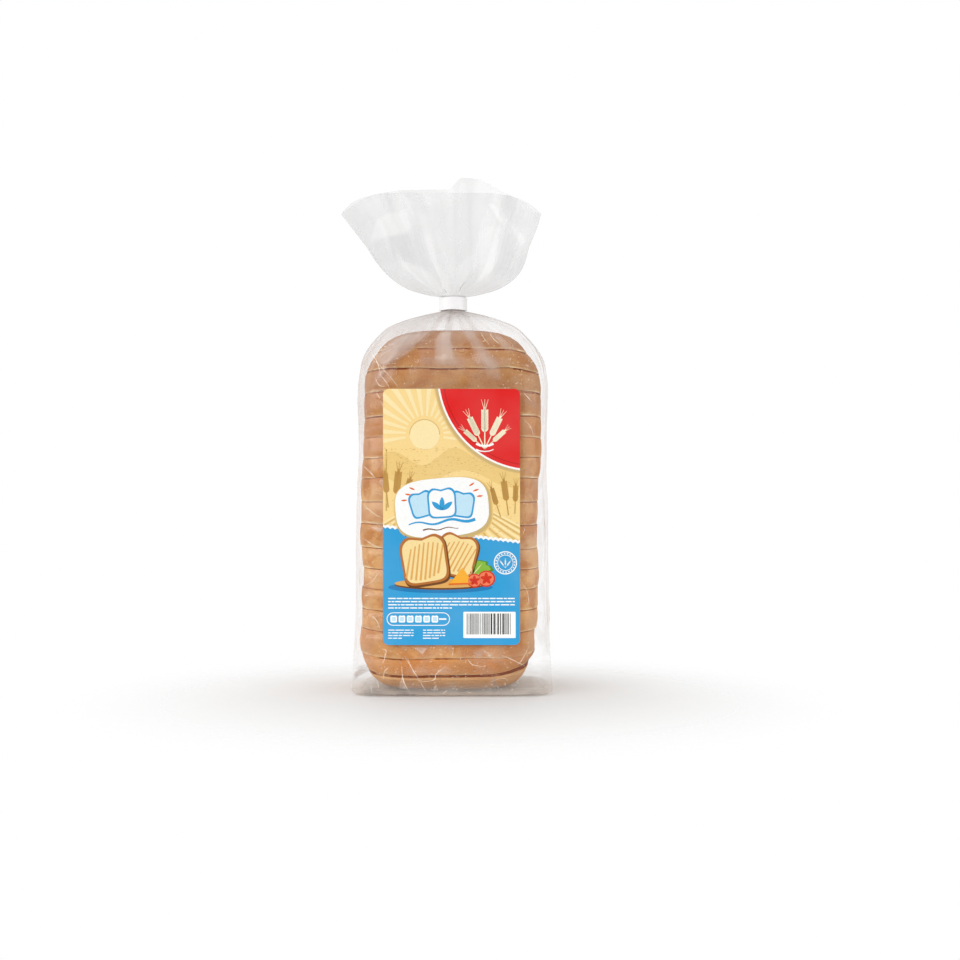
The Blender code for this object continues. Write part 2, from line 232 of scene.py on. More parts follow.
# The ruff from neck to rim: share of the way, then half width, half depth, height at the
# sides, height at the front and sideways lean, in mm
RUFF_SECTIONS = [
    (0.00, 8.5, 6.7, 259.0, 259.0, 0.0),
    (0.07, 16.6, 8.6, 260.2, 261.4, 0.0),
    (0.20, 31.1, 11.6, 264.7, 268.6, -0.2),
    (0.36, 42.6, 14.4, 273.2, 278.6, -1.5),
    (0.52, 49.0, 16.0, 282.5, 289.5, -3.3),
    (0.68, 53.6, 17.0, 292.5, 300.5, -4.8),
    (0.85, 61.0, 17.6, 304.8, 313.6, -6.8),
    (1.00, 66.2, 18.0, 314.3, 325.4, -8.7),
]
RUFF_SQUARENESS = 2.3
BACK_RIM_RISE = 8.5 * MM
BACK_PEAK_RISE = 8.2 * MM
BACK_PEAK_LEFT = (5.0 * MM, 15.0 * MM)
BACK_PEAK_RIGHT = (23.0 * MM, 47.0 * MM)
SIDE_DROP_POWER = 5
RUFF_SIDE_PLEAT_SHARE = 0.25

# Gathers of the film
PLEATS = 12
PLEAT_SECOND_HARMONIC = 0.35
PLEAT_UNEVENNESS = 0.25
PLEAT_SECOND_PHASE = 1.1
PLEAT_UNEVEN_PHASE = 0.8
PLEAT_FADE_WIDTH = 20.0 * MM
SHOULDER_PLEAT_START = 188.0 * MM
SHOULDER_PLEAT_DEPTH = 1.6 * MM
NECK_PLEAT_DEPTH = 0.9 * MM
RUFF_PLEAT_DEPTH = 1.8 * MM

# Folds of the ruff: direction at the neck and at the rim in degrees (-90 is the front),
# where they start and end from neck to rim, half width at the rim, height, milkiness
RUFF_FOLDS = [
    (-102, -104, 0.0, 1.15, 9.0, 3.0, -0.05),
    (-122, -150, 0.0, 0.75, 8.0, 2.6, -0.06),
    (-93, -92, 0.0, 0.55, 7.0, 2.0, -0.05),
    (-78, -66, 0.0, 1.15, 8.0, 2.8, -0.04),
    (-68, -54, 0.1, 1.15, 9.0, -2.8, 0.05),
    (-58, -40, 0.2, 1.15, 8.0, 2.6, -0.04),
    (-44, -22, 0.35, 1.0, 8.0, -2.0, 0.04),
    (-140, -128, 0.4, 1.15, 14.0, 3.2, 0.03),
    (-112, -116, 0.15, 1.15, 10.0, -2.6, 0.05),
    (-96, -84, 0.6, 1.15, 12.0, -1.6, 0.0),
    (2, -6, 0.2, 1.15, 6.0, 2.2, 0.04),
    (24, 30, 0.1, 1.15, 8.0, -2.4, -0.05),
    (46, 40, 0.3, 1.15, 7.0, 2.0, 0.04),
    (70, 78, 0.0, 1.15, 9.0, 3.0, 0.06),
    (92, 84, 0.25, 1.15, 6.5, -2.2, -0.05),
    (112, 122, 0.0, 1.15, 8.5, 2.8, 0.05),
    (134, 128, 0.35, 1.15, 7.0, -1.8, -0.04),
    (156, 166, 0.15, 1.15, 9.0, 2.4, 0.05),
    (178, 186, 0.3, 1.15, 6.0, -2.0, -0.04),
]

# Facets of the ruff's front, with painted light and shade: how soft their edge is in mm, how much
# lighter (painted light) or, below 0, darker (painted shade) they look than the rest, and their
# corners, as place across and height in mm
RUFF_SHADED_FACETS = [
    (2.0, -0.45, ((-53, 294), (-35, 298), (-21, 300), (-15, 276), (-28, 281), (-38, 280), (-50, 280))),
    (1.8, 0.75, ((-50, 308), (-44, 312), (-30, 314), (-27, 304), (-30, 300), (-55, 295))),
    (1.8, -0.4, ((-53, 324), (-35, 327), (-40, 318), (-50, 311), (-61, 303), (-67, 306), (-72, 313))),
    (1.6, -0.35, ((-27, 322), (-20, 322), (-19, 298), (-24, 297))),
    (1.4, 0.7, ((-37, 281), (-29, 281), (-14, 273), (-6, 262), (-9, 261), (-23, 269))),
    (1.4, 0.7, ((-18, 297), (-14, 299), (-9, 280), (-3, 270), (0, 259), (-5, 259), (-8, 270), (-15, 283))),
    (2.2, -0.25, ((-7, 300), (4, 290), (6, 280), (1, 276), (-8, 290))),
    (1.4, 0.7, ((1.4, 276), (13.5, 286), (16.6, 280), (9, 270), (4.4, 261))),
    (2.2, 0.55, ((18, 300), (26, 305), (30, 302), (29, 280), (24, 268), (17, 268), (16.6, 289))),
    (1.6, -0.6, ((32, 327), (45, 321), (56, 312), (53, 304), (48, 304), (39, 306), (35, 311), (31, 318))),
    (1.8, -0.4, ((32, 306), (39, 303), (45, 292), (47, 282), (38, 270), (26, 276), (30, 291))),
    (1.0, 0.9, ((24, 318), (29, 317), (33.5, 307), (31, 307))),
    (1.2, 0.85, ((39, 305), (45.5, 301), (49, 295), (44, 293))),
    (1.6, -0.3, ((13, 328), (17, 325), (26, 320), (18, 318))),
    (2.0, 0.3, ((-30, 322), (-8, 326), (8, 326), (8, 322), (-28, 316))),
]

# How finely the film is made, how near it comes to the bread, and how it dips between slices
FILM_COLUMNS = 400
FILM_BODY_LEVELS = 160
FILM_BODY_TOP = 248.0 * MM
FILM_RUFF_LEVELS = 64
FILM_FOOT_RINGS = 7
FILM_FOOT_HEIGHT = 0.25 * MM
FILM_NECK_LEVELS = 5
FILM_HEM_HEIGHTS = (0.3 * MM, 1.0 * MM, 2.0 * MM)
FILM_WALL_START = 3.2 * MM
FILM_CLEARANCE = 0.35 * MM
LARGEST_GAP = 12 * MM
GROOVE_DEPTH = 0.45 * MM
GROOVE_HALF_WIDTH = 1.8 * MM

# The film's slack at the sides, and its dents all round, whose depths are in mm. A noise has its
# scale per metre along each axis and an offset
SLACK_DEPTH = 1.1 * MM
SLACK_HEIGHTS = (8 * MM, 60 * MM)
SLACK_NOISE = ((38.0, 38.0, 12.0), 3.0)
SLACK_FINE_NOISE = ((80.0, 80.0, 24.0), 9.0)
SLACK_FINE_SHARE = 0.3
DENT_NOISE = ((34.0, 34.0, 44.0), 21.0)
FINE_DENT_NOISE = ((90.0, 90.0, 70.0), 2.0)
DENT_DEPTH = 0.4
FINE_DENT_DEPTH = 0.2
CALM_HEIGHTS = (205 * MM, 235 * MM)
CALM_SHARE = 0.7

# The ruff's slow waves, and the fine gathers just above the neck
RUFF_WAVE = 2.4 * MM
RUFF_WAVE_NOISE = ((26.0, 26.0, 20.0), 5.0)
RUFF_TWIST = 0.5
FINE_GATHERS = 29
FINE_GATHER_DEPTH = 0.7 * MM
FINE_GATHER_REACH = 0.12
FINE_GATHER_RISE = 12

# How milky the film is, as shares. Two values in brackets are where an effect starts and where
# it is full, over heights, gaps to the bread or places
FOOT_HAZE = 0.5
NECK_HAZE = 0.9
RUFF_HAZE = 0.28
RUFF_START_HAZE = 0.10
RUFF_START_REACH = 0.2
RIM_HAZE = 0.1
LEAST_HAZE = 0.01
BILLOW_HAZE = 0.10
BILLOW_BAND = (0.02, 0.16)
BILLOW_NOISE = ((48.0, 48.0, 34.0), 31.0)
BILLOW_FINE_NOISE = ((120.0, 120.0, 90.0), 5.0)
GAP_HAZE = 0.05
GAP_BAND = (2 * MM, 6 * MM)
UPPER_LEFT_HAZE = 0.19
UPPER_LEFT_HEIGHTS = (140 * MM, 175 * MM)
UPPER_LEFT_PLACES = (0, 30 * MM)
UPPER_LEFT_GAPS = (2 * MM, 5 * MM)
SHOULDER_HAZE = 0.08
SHOULDER_HEIGHTS = (228 * MM, 243 * MM)
FRONT_FOLD_SHARE = 0.35
LOW_HAZE = 0.42
LOW_LEFT_CLEARING = 0.06
LOW_LEFT_PLACES = (20 * MM, 50 * MM)
LOW_HEIGHTS = (2.5 * MM, 10 * MM)
LOW_BACK_CLEARING = 0.7
LOW_BACK_PLACES = (-50 * MM, -32 * MM)
HEM_HAZE = 0.18
HEM_HEIGHTS = (1.5 * MM, 4 * MM)
SIDE_FOOT_CLEARING = 0.7
SIDE_FOOT_HEIGHTS = (18 * MM, 30 * MM)
SIDE_FOOT_PLACES = (-50 * MM, -36 * MM)
GATHERED_HAZE = 0.45
GATHERED_HEIGHTS = (243 * MM, 249 * MM)
LOWEST_LINE_CLEARING = 0.8
STRIP_CLEARING = 0.85
STRIP_BOTTOM = (140 * MM, 152 * MM)
STRIP_TOP = (184 * MM, 194 * MM)
STRIP_GAPS = (1.5 * MM, 4 * MM)

# Where the film stands free of the bread and is smooth
FREE_HEIGHTS = (226 * MM, 244 * MM)
FREE_GAPS = (3 * MM, 7 * MM)
FREE_GAP_SHARE = 0.8
# Painted shading of the free film where no facet lies, half way between shade and light
USUAL_PAINTED_SHADING = 0.5

# Folds that run from the neck over the shoulders: their side, the place across at the neck
# and at the lower end, the lower end's height, half width, height, milkiness, which is partly a
# painted reflection along the fold; all in mm but the last, a share
SHOULDER_FOLDS = [
    ("front", -3.0, -2.0, 208, 4.6, 1.0, 0.26),
    ("front", 2.5, 25.0, 198, 5.0, 1.0, 0.24),
    ("front", 4.0, 31.0, 212, 1.8, 0.8, 0.16),
    ("front", 5.5, 42.0, 210, 1.7, 0.9, 0.20),
    ("front", 6.5, 47.0, 216, 1.4, 0.7, 0.16),
    ("front", -5.0, -41.0, 209, 6.5, 0.9, 0.22),
    ("front", -4.0, -26.0, 222, 1.6, 0.7, 0.14),
    ("front", -6.5, -50.0, 196, 2.6, 0.8, 0.12),
    ("right", -3.0, -24.0, 204, 3.2, 1.1, 0.14),
    ("right", 1.0, 8.0, 200, 4.0, 1.2, 0.18),
    ("right", 3.5, 34.0, 208, 3.0, 1.0, 0.14),
    ("left", -2.5, -20.0, 202, 4.0, 1.1, 0.16),
    ("left", 2.0, 18.0, 206, 3.2, 1.1, 0.16),
    ("back", -4.5, -36.0, 204, 4.0, 1.1, 0.2),
    ("back", -1.0, -9.0, 198, 5.0, 1.2, 0.26),
    ("back", 2.5, 16.0, 206, 3.0, 1.0, 0.18),
    ("back", 5.0, 40.0, 202, 4.2, 1.1, 0.2),
]

# How a shoulder fold runs: how fast it moves across and widens, its width at the neck as a
# share, where it ends as shares of its length, and its milky band's edges in half widths
FOLD_PATH_POWER = 0.75
FOLD_WIDTH_POWER = 0.5
FOLD_NECK_WIDTH = 0.3
FOLD_END = (0.7, 1.08)
VEIL_SHARP_EDGE = (-1.2, -0.95)
VEIL_SOFT_EDGE = (0.2, 1.25)

# How a ruff fold runs: how fast it turns, its width at the neck as a share, how its ridge
# sharpens, how softly it starts and ends, and its height at the neck and gain to the rim
RUFF_FOLD_PATH_POWER = 0.7
RUFF_FOLD_NECK_WIDTH = 0.3
RUFF_RIDGE_ROUNDING = 0.02
RUFF_RIDGE_POWER = 1.2
RUFF_RIDGE_POWER_GAIN = 0.3
RUFF_FOLD_START = 0.12
RUFF_FOLD_END = 0.35
RUFF_FOLD_NECK_HEIGHT = 0.3
RUFF_FOLD_HEIGHT_GAIN = 1.6

# Patches of the front's film that stand off the bread and look milky, whitened partly as a painted
# reflection: how soft their edge is in mm, their milkiness, and their corners, as place across and
# height in mm
FRONT_REFLECTION_VEILS = [
    (0.8, 0.22, ((-7, 232), (-10.3, 226), (-10.6, 214), (1.5, 214), (0.3, 221), (-1, 226), (-0.6, 232))),
    (2.6, 0.16, ((-7, 232), (-9.5, 226), (-10, 210), (6, 209), (2.5, 215), (0.3, 221), (-1.5, 226),
                 (-1.5, 232))),
    (2.0, 0.26, ((6, 233), (12.5, 224), (16.5, 216.5), (20.5, 209.5), (22, 201.5), (31, 201.5), (30, 210),
                 (25.5, 217), (18.5, 224.5), (13, 233))),
    (1.2, 0.14, ((17, 217), (21, 218), (28.5, 209), (26, 206), (21, 211.5))),
    (1.0, 0.30, ((-33, 229), (-14.6, 232), (-22.7, 223.6), (-25, 220), (-31.3, 215), (-44, 210), (-47, 211.5),
                 (-48.6, 215.6), (-40.5, 223.6))),
    (0.9, 0.26, ((29.6, 229.4), (36, 226.6), (41.7, 219.7), (32.5, 220.8), (26.7, 229.4))),
    (1.6, 0.16, ((-19.8, 215.3), (37, 214.5), (37.6, 208.5), (-19, 209.5))),
    (1.4, 0.12, ((-50, 206), (-38, 206), (-34, 199), (-50, 201))),
    (1.4, 0.12, ((4, 207.6), (21, 207), (19, 202), (6, 203))),
    (0.7, 0.28, ((13.4, 29), (22, 30), (21.2, 26.8), (14.8, 24.7))),
    (0.7, 0.24, ((-22.4, 32), (-14, 32), (-16.8, 28.2), (-22.4, 29.6))),
    (0.7, 0.22, ((-3.4, 32.4), (1.5, 32.4), (-0.6, 27.5))),
    (0.7, 0.18, ((-34.3, 32.4), (-25.2, 31.7), (-28, 28.9))),
    (2.0, 0.07, ((3, 32), (48, 32), (48, 22), (6, 22))),
    (1.0, 0.14, ((-28, 18.4), (0, 18), (1, 15.0), (-28, 15.0))),
]

# Thin creases in front, whitened partly as painted glints, as points on the film: place across and height, in
# mm
FRONT_CREASES = [
    ((-30, 26), (-22.6, 14), (-15.2, 2)),
    ((-28, 24.5), (-25.5, 19), (-23.2, 13.8)),
    ((-31.6, 19.4), (-30.5, 10.7), (-26.6, 2.6)),
    ((-41.9, 30), (-42.3, 24.5), (-43.8, 20.7)),
    ((-3.5, 19.4), (-9.5, 14.5), (-11.4, 10.6), (-20.9, 9.3)),
    ((-38.9, 19.1), (-42.3, 16), (-43.1, 10.7)),
    ((-46.8, 10), (-46.1, 5.5)),
    ((-44.1, 30.3), (-41.3, 28.9), (-42.7, 23.3)),
    ((1.5, 31.7), (0.1, 24.7)),
    ((9.2, 3.6), (12.7, 2.2)),
    ((-51.1, 6.4), (-50.1, 1.8)),
    ((-51, 213.5), (-46.8, 211), (-42.2, 206), (-37, 200), (-33.6, 195.5)),
    ((-48.5, 202.4), (-46.2, 197.3), (-42, 196)),
    ((-48, 192.7), (-45.1, 188.6)),
    ((-46.8, 214), (-42.8, 218), (-31.3, 223.7)),
    ((18.1, 232), (20.4, 227.7), (23.9, 223)),
    ((23.9, 231.5), (26.7, 227), (30.2, 223.7)),
    ((-2.6, 4.3), (-5.7, 1.8)),
    ((32.7, 26), (40, 22.6), (46.8, 19.2)),
    ((48.5, 30.6), (44.7, 23.4), (41.6, 20.2)),
    ((10, 24), (13, 20.5), (20, 19)),
    ((24, 9), (31, 11.5), (36, 11)),
    ((-56, 146), (-49, 139)),
    ((-53, 144.5), (-48.5, 138)),
    ((-56.5, 122), (-49.8, 116), (-42.7, 112.4)),
    ((-56, 119.4), (-51, 118)),
    ((-56.5, 111.7), (-49.8, 109.6), (-43.1, 108.6)),
    ((-56.5, 100), (-49.1, 95.5), (-43.1, 93.5)),
    ((-55, 70), (-50, 73), (-46, 79)),
    ((-52, 52), (-47.5, 48), (-45, 42)),
    ((-45.6, 187.6), (-42.7, 183.3)),
    ((-45.2, 203.8), (-41.2, 198.7), (-39.1, 194.7)),
    ((-52, 219), (-47, 211), (-45, 203)),
    ((49.2, 128.8), (53, 121.6)),
    ((46.9, 108), (45, 101.8)),
    ((45, 176), (50, 171), (52, 165)),
    ((46, 192), (50.5, 187)),
    ((44.5, 72), (48, 66), (49, 58)),
]

# Small milky triangles where creases in front meet, whitened partly as a painted glint
FRONT_GLINT_WEDGES = [
    ((-31.4, 13), (-33.2, 5.6), (-28.2, 4.8)),
    ((-10, 7.6), (-12.6, 3.9), (-7.6, 4.4)),
    ((-46, 137), (-42.6, 138.5), (-43, 131)),
    ((-52, 107.4), (-42.8, 106.4), (-43, 102.6)),
    ((-24, 31), (-16, 30.5), (-18, 26.5)),
    ((20, 29), (27, 28), (24, 24.4)),
]

# Thin lines of painted shadow in the pinched folds where the film is drawn together above and below the tie
NECK_FOLD_SHADOWS = [
    ((8.5, 268), (5.6, 264.5), (4.4, 261.6)),
    ((-6.2, 263.6), (-4.0, 260.8)),
    ((-1.6, 247.4), (-1.8, 243), (-2.2, 238)),
    ((4.6, 247.2), (8.5, 244.8), (11.5, 242.4)),
    ((1.2, 247.6), (1.0, 243.5)),
]

# Thin lines of painted shadow along the bag's hem in front
HEM_SHADOW_LINES = [
    ((-55, 1.3), (-40, 0.9), (-20, 0.8), (0, 0.8)),
    ((-2, 0.8), (20, 0.8), (42, 0.9), (56, 1.2)),
]

# Painted shadow on the hem, as soft dark patches: place across, half width and height in mm, and
# how many layers each has
HEM_SHADOWS = [
    (-49.0, 9.5, 5.2, 5),
    (-30.0, 13.0, 2.4, 3),
    (51.0, 5.0, 3.2, 3),
]

# Thin brown lines where the film is folded tight over the top slice
BROWN_FOLDS = [
    ((30.2, 230.6), (35.9, 225.4), (41.1, 219.7)),
    ((2.6, 219.1), (6.6, 217.7), (10.6, 219.7)),
]

# Fans of thin creases on the other sides: the side, the place across and the height of
# their middle, their reach, all in mm, the directions they spread over in degrees
# (0 is to the right and 90 up), and how many there are
CREASE_FANS = [
    ("left", 20.0, 60.0, 34.0, (30, 150), 6),
    ("left", -24.0, 150.0, 38.0, (200, 330), 6),
    ("left", 4.0, 205.0, 26.0, (60, 120), 5),
    ("right", -18.0, 40.0, 32.0, (10, 160), 6),
    ("right", 22.0, 130.0, 38.0, (200, 340), 6),
    ("right", -6.0, 206.0, 24.0, (60, 120), 5),
    ("back", -30.0, 30.0, 30.0, (10, 150), 7),
    ("back", 34.0, 90.0, 34.0, (80, 200), 6),
    ("back", -20.0, 160.0, 38.0, (230, 320), 6),
    ("back", 26.0, 208.0, 28.0, (200, 260), 5),
]

# How wide and high creases are, how far they lie off the film, and how many points and specks
CREASE_WIDTH = 0.42 * MM
CREASE_HEIGHT = 0.16 * MM
PINCH_WIDTH = 0.55 * MM
FAN_WIDTH = 0.2 * MM
CREASE_POINTS = 9
CREASE_LIFT = 0.06 * MM
WEDGE_LIFT = 0.08 * MM
CREASE_WIDTH_CHANGE = (0.7, 1.2)
SPECKS = 700
SPECK_SIDES = ("front", "front", "left", "right", "back")
SPECK_WIDTH_SHARE = 0.8
HEM_SHADE_STEPS = 14
HEM_SHADE_LAYER = 0.02 * MM

# Places and heights in mm: where the painted hem shadows start, how far fans reach, and where specks lie
HEM_SHADE_FOOT = 0.6
FAN_EDGE = 55
FAN_HEIGHTS = (1.5, 244)
SPECK_EDGE = 54
SPECK_SPREAD = 11
SPECK_REACH = 52
SPECK_HEIGHTS = ((4, 32), (4, 226), (190, 228))
SPECK_LOW = 32
SPECK_UPPER = 192
SPECK_TOP = 216
SPECK_UPPER_PLACES = ((28, 52), (-50, -34), (-50, 50))
SPECK_HALF_LENGTH = (0.25, 0.8)

# A fan's creases: their spacing, start and end as shares, and how far they bend, in radians
FAN_SPACING = (0.1, 0.9)
FAN_START = (0.1, 0.4)
FAN_END = (0.55, 1.1)
FAN_BEND = 0.12

# The crease pieces' looks: the material's name, its colour, and the least and most it hides.
# The whitish creases and wedges are partly painted glints; hem and fold shadows are painted shadow
CREASE_LOOKS = {
    "film_crease_glints": ("film_crease_glint", (1.0, 0.88, 0.72, 1), 0.45, 0.8),
    "film_glint_wedges": ("film_glint_wedge", (1.0, 0.88, 0.80, 1), 0.12, 0.28),
    "film_brown_folds": ("film_brown_fold", (0.42, 0.16, 0.06, 1), 0.3, 0.7),
    "film_hem_shadows": ("film_hem_shadow", (0.22, 0.20, 0.18, 1), 0.13, 0.24),
    "film_fold_shadows": ("film_fold_shadow", (0.28, 0.275, 0.265, 1), 0.35, 0.75),
}

# The label
LABEL_BEND = 0.3 * MM
LABEL_BEND_POWER = 6
LABEL_CORNER = 3.6 * MM
LABEL_SHEET = 0.25 * MM
PRINT_LAYER = 0.02 * MM
PRINT_COLUMN = 7.0 * MM
LABEL_CORNER_STEPS = 6
LEAF_STEPS = 10
BOX_CORNER_STEPS = 4
TOAST_STEPS = 48

# The ears of wheat in the gold field: place, length and direction in degrees, in mm
FIELD_EARS = (
    (-40, 6, 22, 96),
    (-36, 4, 25, 84),
    (-31.5, 5, 20, 74),
    (36, 1, 22, 98),
    (40, 2, 18, 88),
    (31, 0, 19, 108),
)

# Short marks in the field: how many, their lowest and highest place, longest length, thickness
FIELD_MARKS = ((230, 26, 44, 1.6, 0.22), (200, -16, 22, 1.2, 0.25))
SUN = (-17, 52)
SUN_RADIUS = 9.5
RED_MIDDLE = (52, 90)
RED_RADIUS = 60.0
PLAQUE = (-6, 6)
PLAQUE_HALF_SIZE = (29.5, 18.5)
PLAQUE_TURN = 5
BADGE = (34, -29)

# The print's inks, as sRGB from 0 to 255
INKS = {
    "gold": (250, 218, 147),
    "pale gold": (253, 231, 175),
    "straw": (240, 205, 130),
    "ochre": (222, 184, 112),
    "wheat": (196, 150, 78),
    "red": (226, 32, 32),
    "dark red": (190, 20, 26),
    "white": (252, 252, 250),
    "shade": (205, 178, 120),
    "blue": (50, 160, 216),
    "deep blue": (32, 126, 184),
    "pale blue": (196, 230, 246),
    "cream": (253, 240, 208),
    "crumb": (248, 222, 158),
    "toast": (226, 170, 92),
    "crust": (184, 112, 52),
    "brown": (112, 68, 34),
    "orange": (232, 104, 36),
    "cheese": (248, 176, 52),
    "tomato": (216, 56, 34),
    "light tomato": (240, 128, 92),
    "leaf": (134, 186, 62),
    "dark leaf": (84, 142, 44),
    "black": (30, 30, 32),
}

# The crust's and the crumb's colours
CRUST_PALE = (0.75, 0.415, 0.165, 1)
CRUST_TAN = (0.57, 0.215, 0.050, 1)
CRUST_ORANGE = (0.76, 0.29, 0.078, 1)
CRUST_LIGHT = (0.95, 0.62, 0.33, 1)
CRUST_BROWN = (0.31, 0.125, 0.040, 1)
# Red-brown of browned cut edges with painted shadow in the gaps between slices
GAP_SHADE_RED_BROWN = (0.25, 0.048, 0.003, 1)
# Cream of crumb along the lower edges, partly a painted highlight
CRUST_CREAM = (0.95, 0.74, 0.42, 1)
CRUMB_HOLE = (0.62, 0.47, 0.28, 1)
CRUMB_PALE = (0.90, 0.80, 0.60, 1)
CRUMB_WARM = (0.80, 0.66, 0.44, 1)

# Ramps of the crust and the crumb: from and to, and what they give there if not 0 and 1
BLOTCH_RAMP = (0.42, 0.57)
CLOUD_RAMP = (0.46, 0.64)
STREAK_RAMP = (0.52, 0.72)
GRAIN_RAMP = (0.45, 0.65)
PIT_RAMP = (0.08, 0.3, 1.0, 0.0)
PIT_SHARE_RAMP = (0.4, 0.6, 0.35, 0.05)
BROKEN_EDGE_RAMP = (0.36, 0.52, 0.35, 1.0)
RAGGED_RAMP = (0.40, 0.55, 0.2, 1.0)
CRUMB_RAMP = (0.1, 0.5)
CRUST_STREAKS = (80.0, 80.0, 330.0)

# The film's colours: on bread, warm with a painted reflection of the bread; free in painted shade;
# free in painted light; and by the floor, in painted shade
# Warm haze on bread, tinted as a painted reflection of the bread
FILM_HAZE_REFLECTING_BREAD = (0.86, 0.79, 0.75, 1)
FILM_FREE_SHADED = (0.46, 0.46, 0.46, 1)
FILM_FREE_LIT = (0.97, 0.965, 0.96, 1)
# Painted beige-grey shade of the film low down by the floor
FILM_SHADE_BY_FLOOR = (0.74, 0.70, 0.65, 1)

# The film's ramps, as for the crust, and shares of its looks
FILM_CRINKLES = (300.0, 300.0, 130.0)
FILM_CLOUD_RAMP = (0.3, 0.75, 0.85, 1.15)
FILM_CLINGING_RAMP = (0.0, 1.0, 1.0, 0.25)
# Heights over which the painted shade by the floor fades out
FILM_FOOT_SHADE_RAMP = (2 * MM, 16 * MM, 1.0, 0.0)
FILM_SHINE_RAMP = (0.0, 1.0, 0.14, 0.3)
FILM_GRAZING_HEIGHTS = (20 * MM, 50 * MM, 0.0, 1.0)
FILM_SLANT_HAZE = 0.12
FILM_THROUGH = 0.45
FILM_GRAZING_MIRROR = 0.15
FILM_MIRROR = 0.03

# The label's and the tape's colours, ramps and streaks
INK_SPECK = (0.12, 0.09, 0.06, 1)
INK_SPECK_RAMP = (0.35, 0.65, 0.0, 0.07)
INK_CLOUD_RAMP = (0.4, 0.7, 0.0, 0.03)
SHEET_SHADES = ((0.84, 0.83, 0.80, 1), (0.9, 0.89, 0.87, 1))
SHEET_SINK = 0.02 * MM
TAPE_SHADES = ((0.90, 0.905, 0.91, 1), (0.94, 0.945, 0.95, 1))
TAPE_STREAKS = (900.0, 900.0, 90.0)


def loaf_axis():
    """Where the loaf's upright middle line stands: the middle of the bag's flat foot."""
    foot = [v.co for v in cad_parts["bag"].data.vertices if v.co.z < 0.1 * MM]
    middle_x = (min(p.x for p in foot) + max(p.x for p in foot)) / 2
    middle_y = (min(p.y for p in foot) + max(p.y for p in foot)) / 2
    return Vector((middle_x, middle_y, 0))


AXIS = loaf_axis()


# Shared helpers for shapes

def smoothstep(low, high, value):
    share = np.clip((value - low) / (high - low), 0.0, 1.0)
    return share * share * (3 - 2 * share)


def along(sections, where):
    """The values of a table of sections at a place between them, on a smooth curve."""
    last = len(sections) - 1
    k = 0
    while k < last - 1 and where > sections[k + 1][0]:
        k += 1
    before = sections[max(k - 1, 0)]
    start = sections[k]
    end = sections[k + 1]
    after = sections[min(k + 2, last)]
    span = end[0] - start[0]
    share = min(1.0, max(0.0, (where - start[0]) / span))
    values = []
    for column in range(1, len(start)):
        slope_in = (end[column] - before[column]) / (end[0] - before[0]) * span
        slope_out = (after[column] - start[column]) / (after[0] - start[0]) * span
        cube = share**3
        square = share**2
        values.append(
            (2 * cube - 3 * square + 1) * start[column]
            + (cube - 2 * square + share) * slope_in
            + (3 * square - 2 * cube) * end[column]
            + (cube - square) * slope_out
        )
    return values


def superellipse(angle, half_width, half_depth, squareness):
    """Points of a rounded rectangle, and the outward directions there, as arrays."""
    power = 2 / squareness
    c = np.cos(angle)
    s = np.sin(angle)
    x = half_width * np.copysign(np.abs(c) ** power, c)
    y = half_depth * np.copysign(np.abs(s) ** power, s)
    across = np.copysign(np.abs(x / half_width) ** (squareness - 1), x) / half_width
    inward = np.copysign(np.abs(y / half_depth) ** (squareness - 1), y) / half_depth
    length = np.hypot(across, inward)
    return x, y, across / length, inward / length


def even_angles(half_width, half_depth, squareness, count):
    """The angles at which points of a rounded rectangle stand evenly apart, from the right."""
    polar = np.linspace(0, 2 * np.pi, OUTLINE_STEPS)

    def outline(direction):
        across = np.cos(direction) / half_width
        inward = np.sin(direction) / half_depth
        reach = (np.abs(across) ** squareness + np.abs(inward) ** squareness) ** (-1 / squareness)
        return reach * across, reach * inward

    across, inward = outline(polar)
    steps = np.hypot(np.diff(across) * half_width, np.diff(inward) * half_depth)
    length = np.concatenate([[0.0], np.cumsum(steps)])
    across, inward = outline(np.interp(length[-1] * np.arange(count) / count, length, polar))
    power = squareness / 2
    s = np.copysign(np.abs(inward) ** power, inward)
    c = np.copysign(np.abs(across) ** power, across)
    return np.arctan2(s, c) % (2 * np.pi)


def pleat(angle, twist):
    """The gathers' height round the bag, from -1 to 1, sharper outwards than inwards."""
    wave = np.sin(PLEATS * angle + twist)
    second = np.sin(2 * PLEATS * angle + 2 * twist + PLEAT_SECOND_PHASE)
    uneven = 1 - PLEAT_UNEVENNESS * (1 - np.sin(3 * angle + PLEAT_UNEVEN_PHASE))
    return uneven * (wave + PLEAT_SECOND_HARMONIC * second) / (1 + PLEAT_SECOND_HARMONIC)


def sheet_noise(points, scale, offset):
    """Smooth noise from about -1 to 1 at each point; scale is per metre along each axis."""
    shift = Vector((offset, 0.37 * offset, -0.61 * offset))
    places = [Vector((p[0] * scale[0], p[1] * scale[1], p[2] * scale[2])) for p in points]
    return np.array([noise.noise(place + shift) for place in places])


def grid_object(name, rows, closed_start=False):
    """A mesh through rows of equally many points round the loaf, as quads."""
    columns = len(rows[0])
    vertices = np.concatenate(rows)
    faces = []
    for level in range(len(rows) - 1):
        base = level * columns
        for k in range(columns):
            following = (k + 1) % columns
            faces.append((base + k, base + following, base + columns + following, base + columns + k))
    if closed_start:
        faces.append(tuple(range(columns - 1, -1, -1)))
    data = bpy.data.meshes.new(name)
    data.from_pydata([tuple(v) for v in vertices], [], faces)
    data.shade_smooth()
    obj = bpy.data.objects.new(name, data)
    bpy.context.scene.collection.objects.link(obj)
    return obj


def write_attribute(obj, name, values):
    attribute = obj.data.attributes.new(name, "FLOAT", "POINT")
    attribute.data.foreach_set("value", np.asarray(values, np.float32))


# Shared helpers for materials

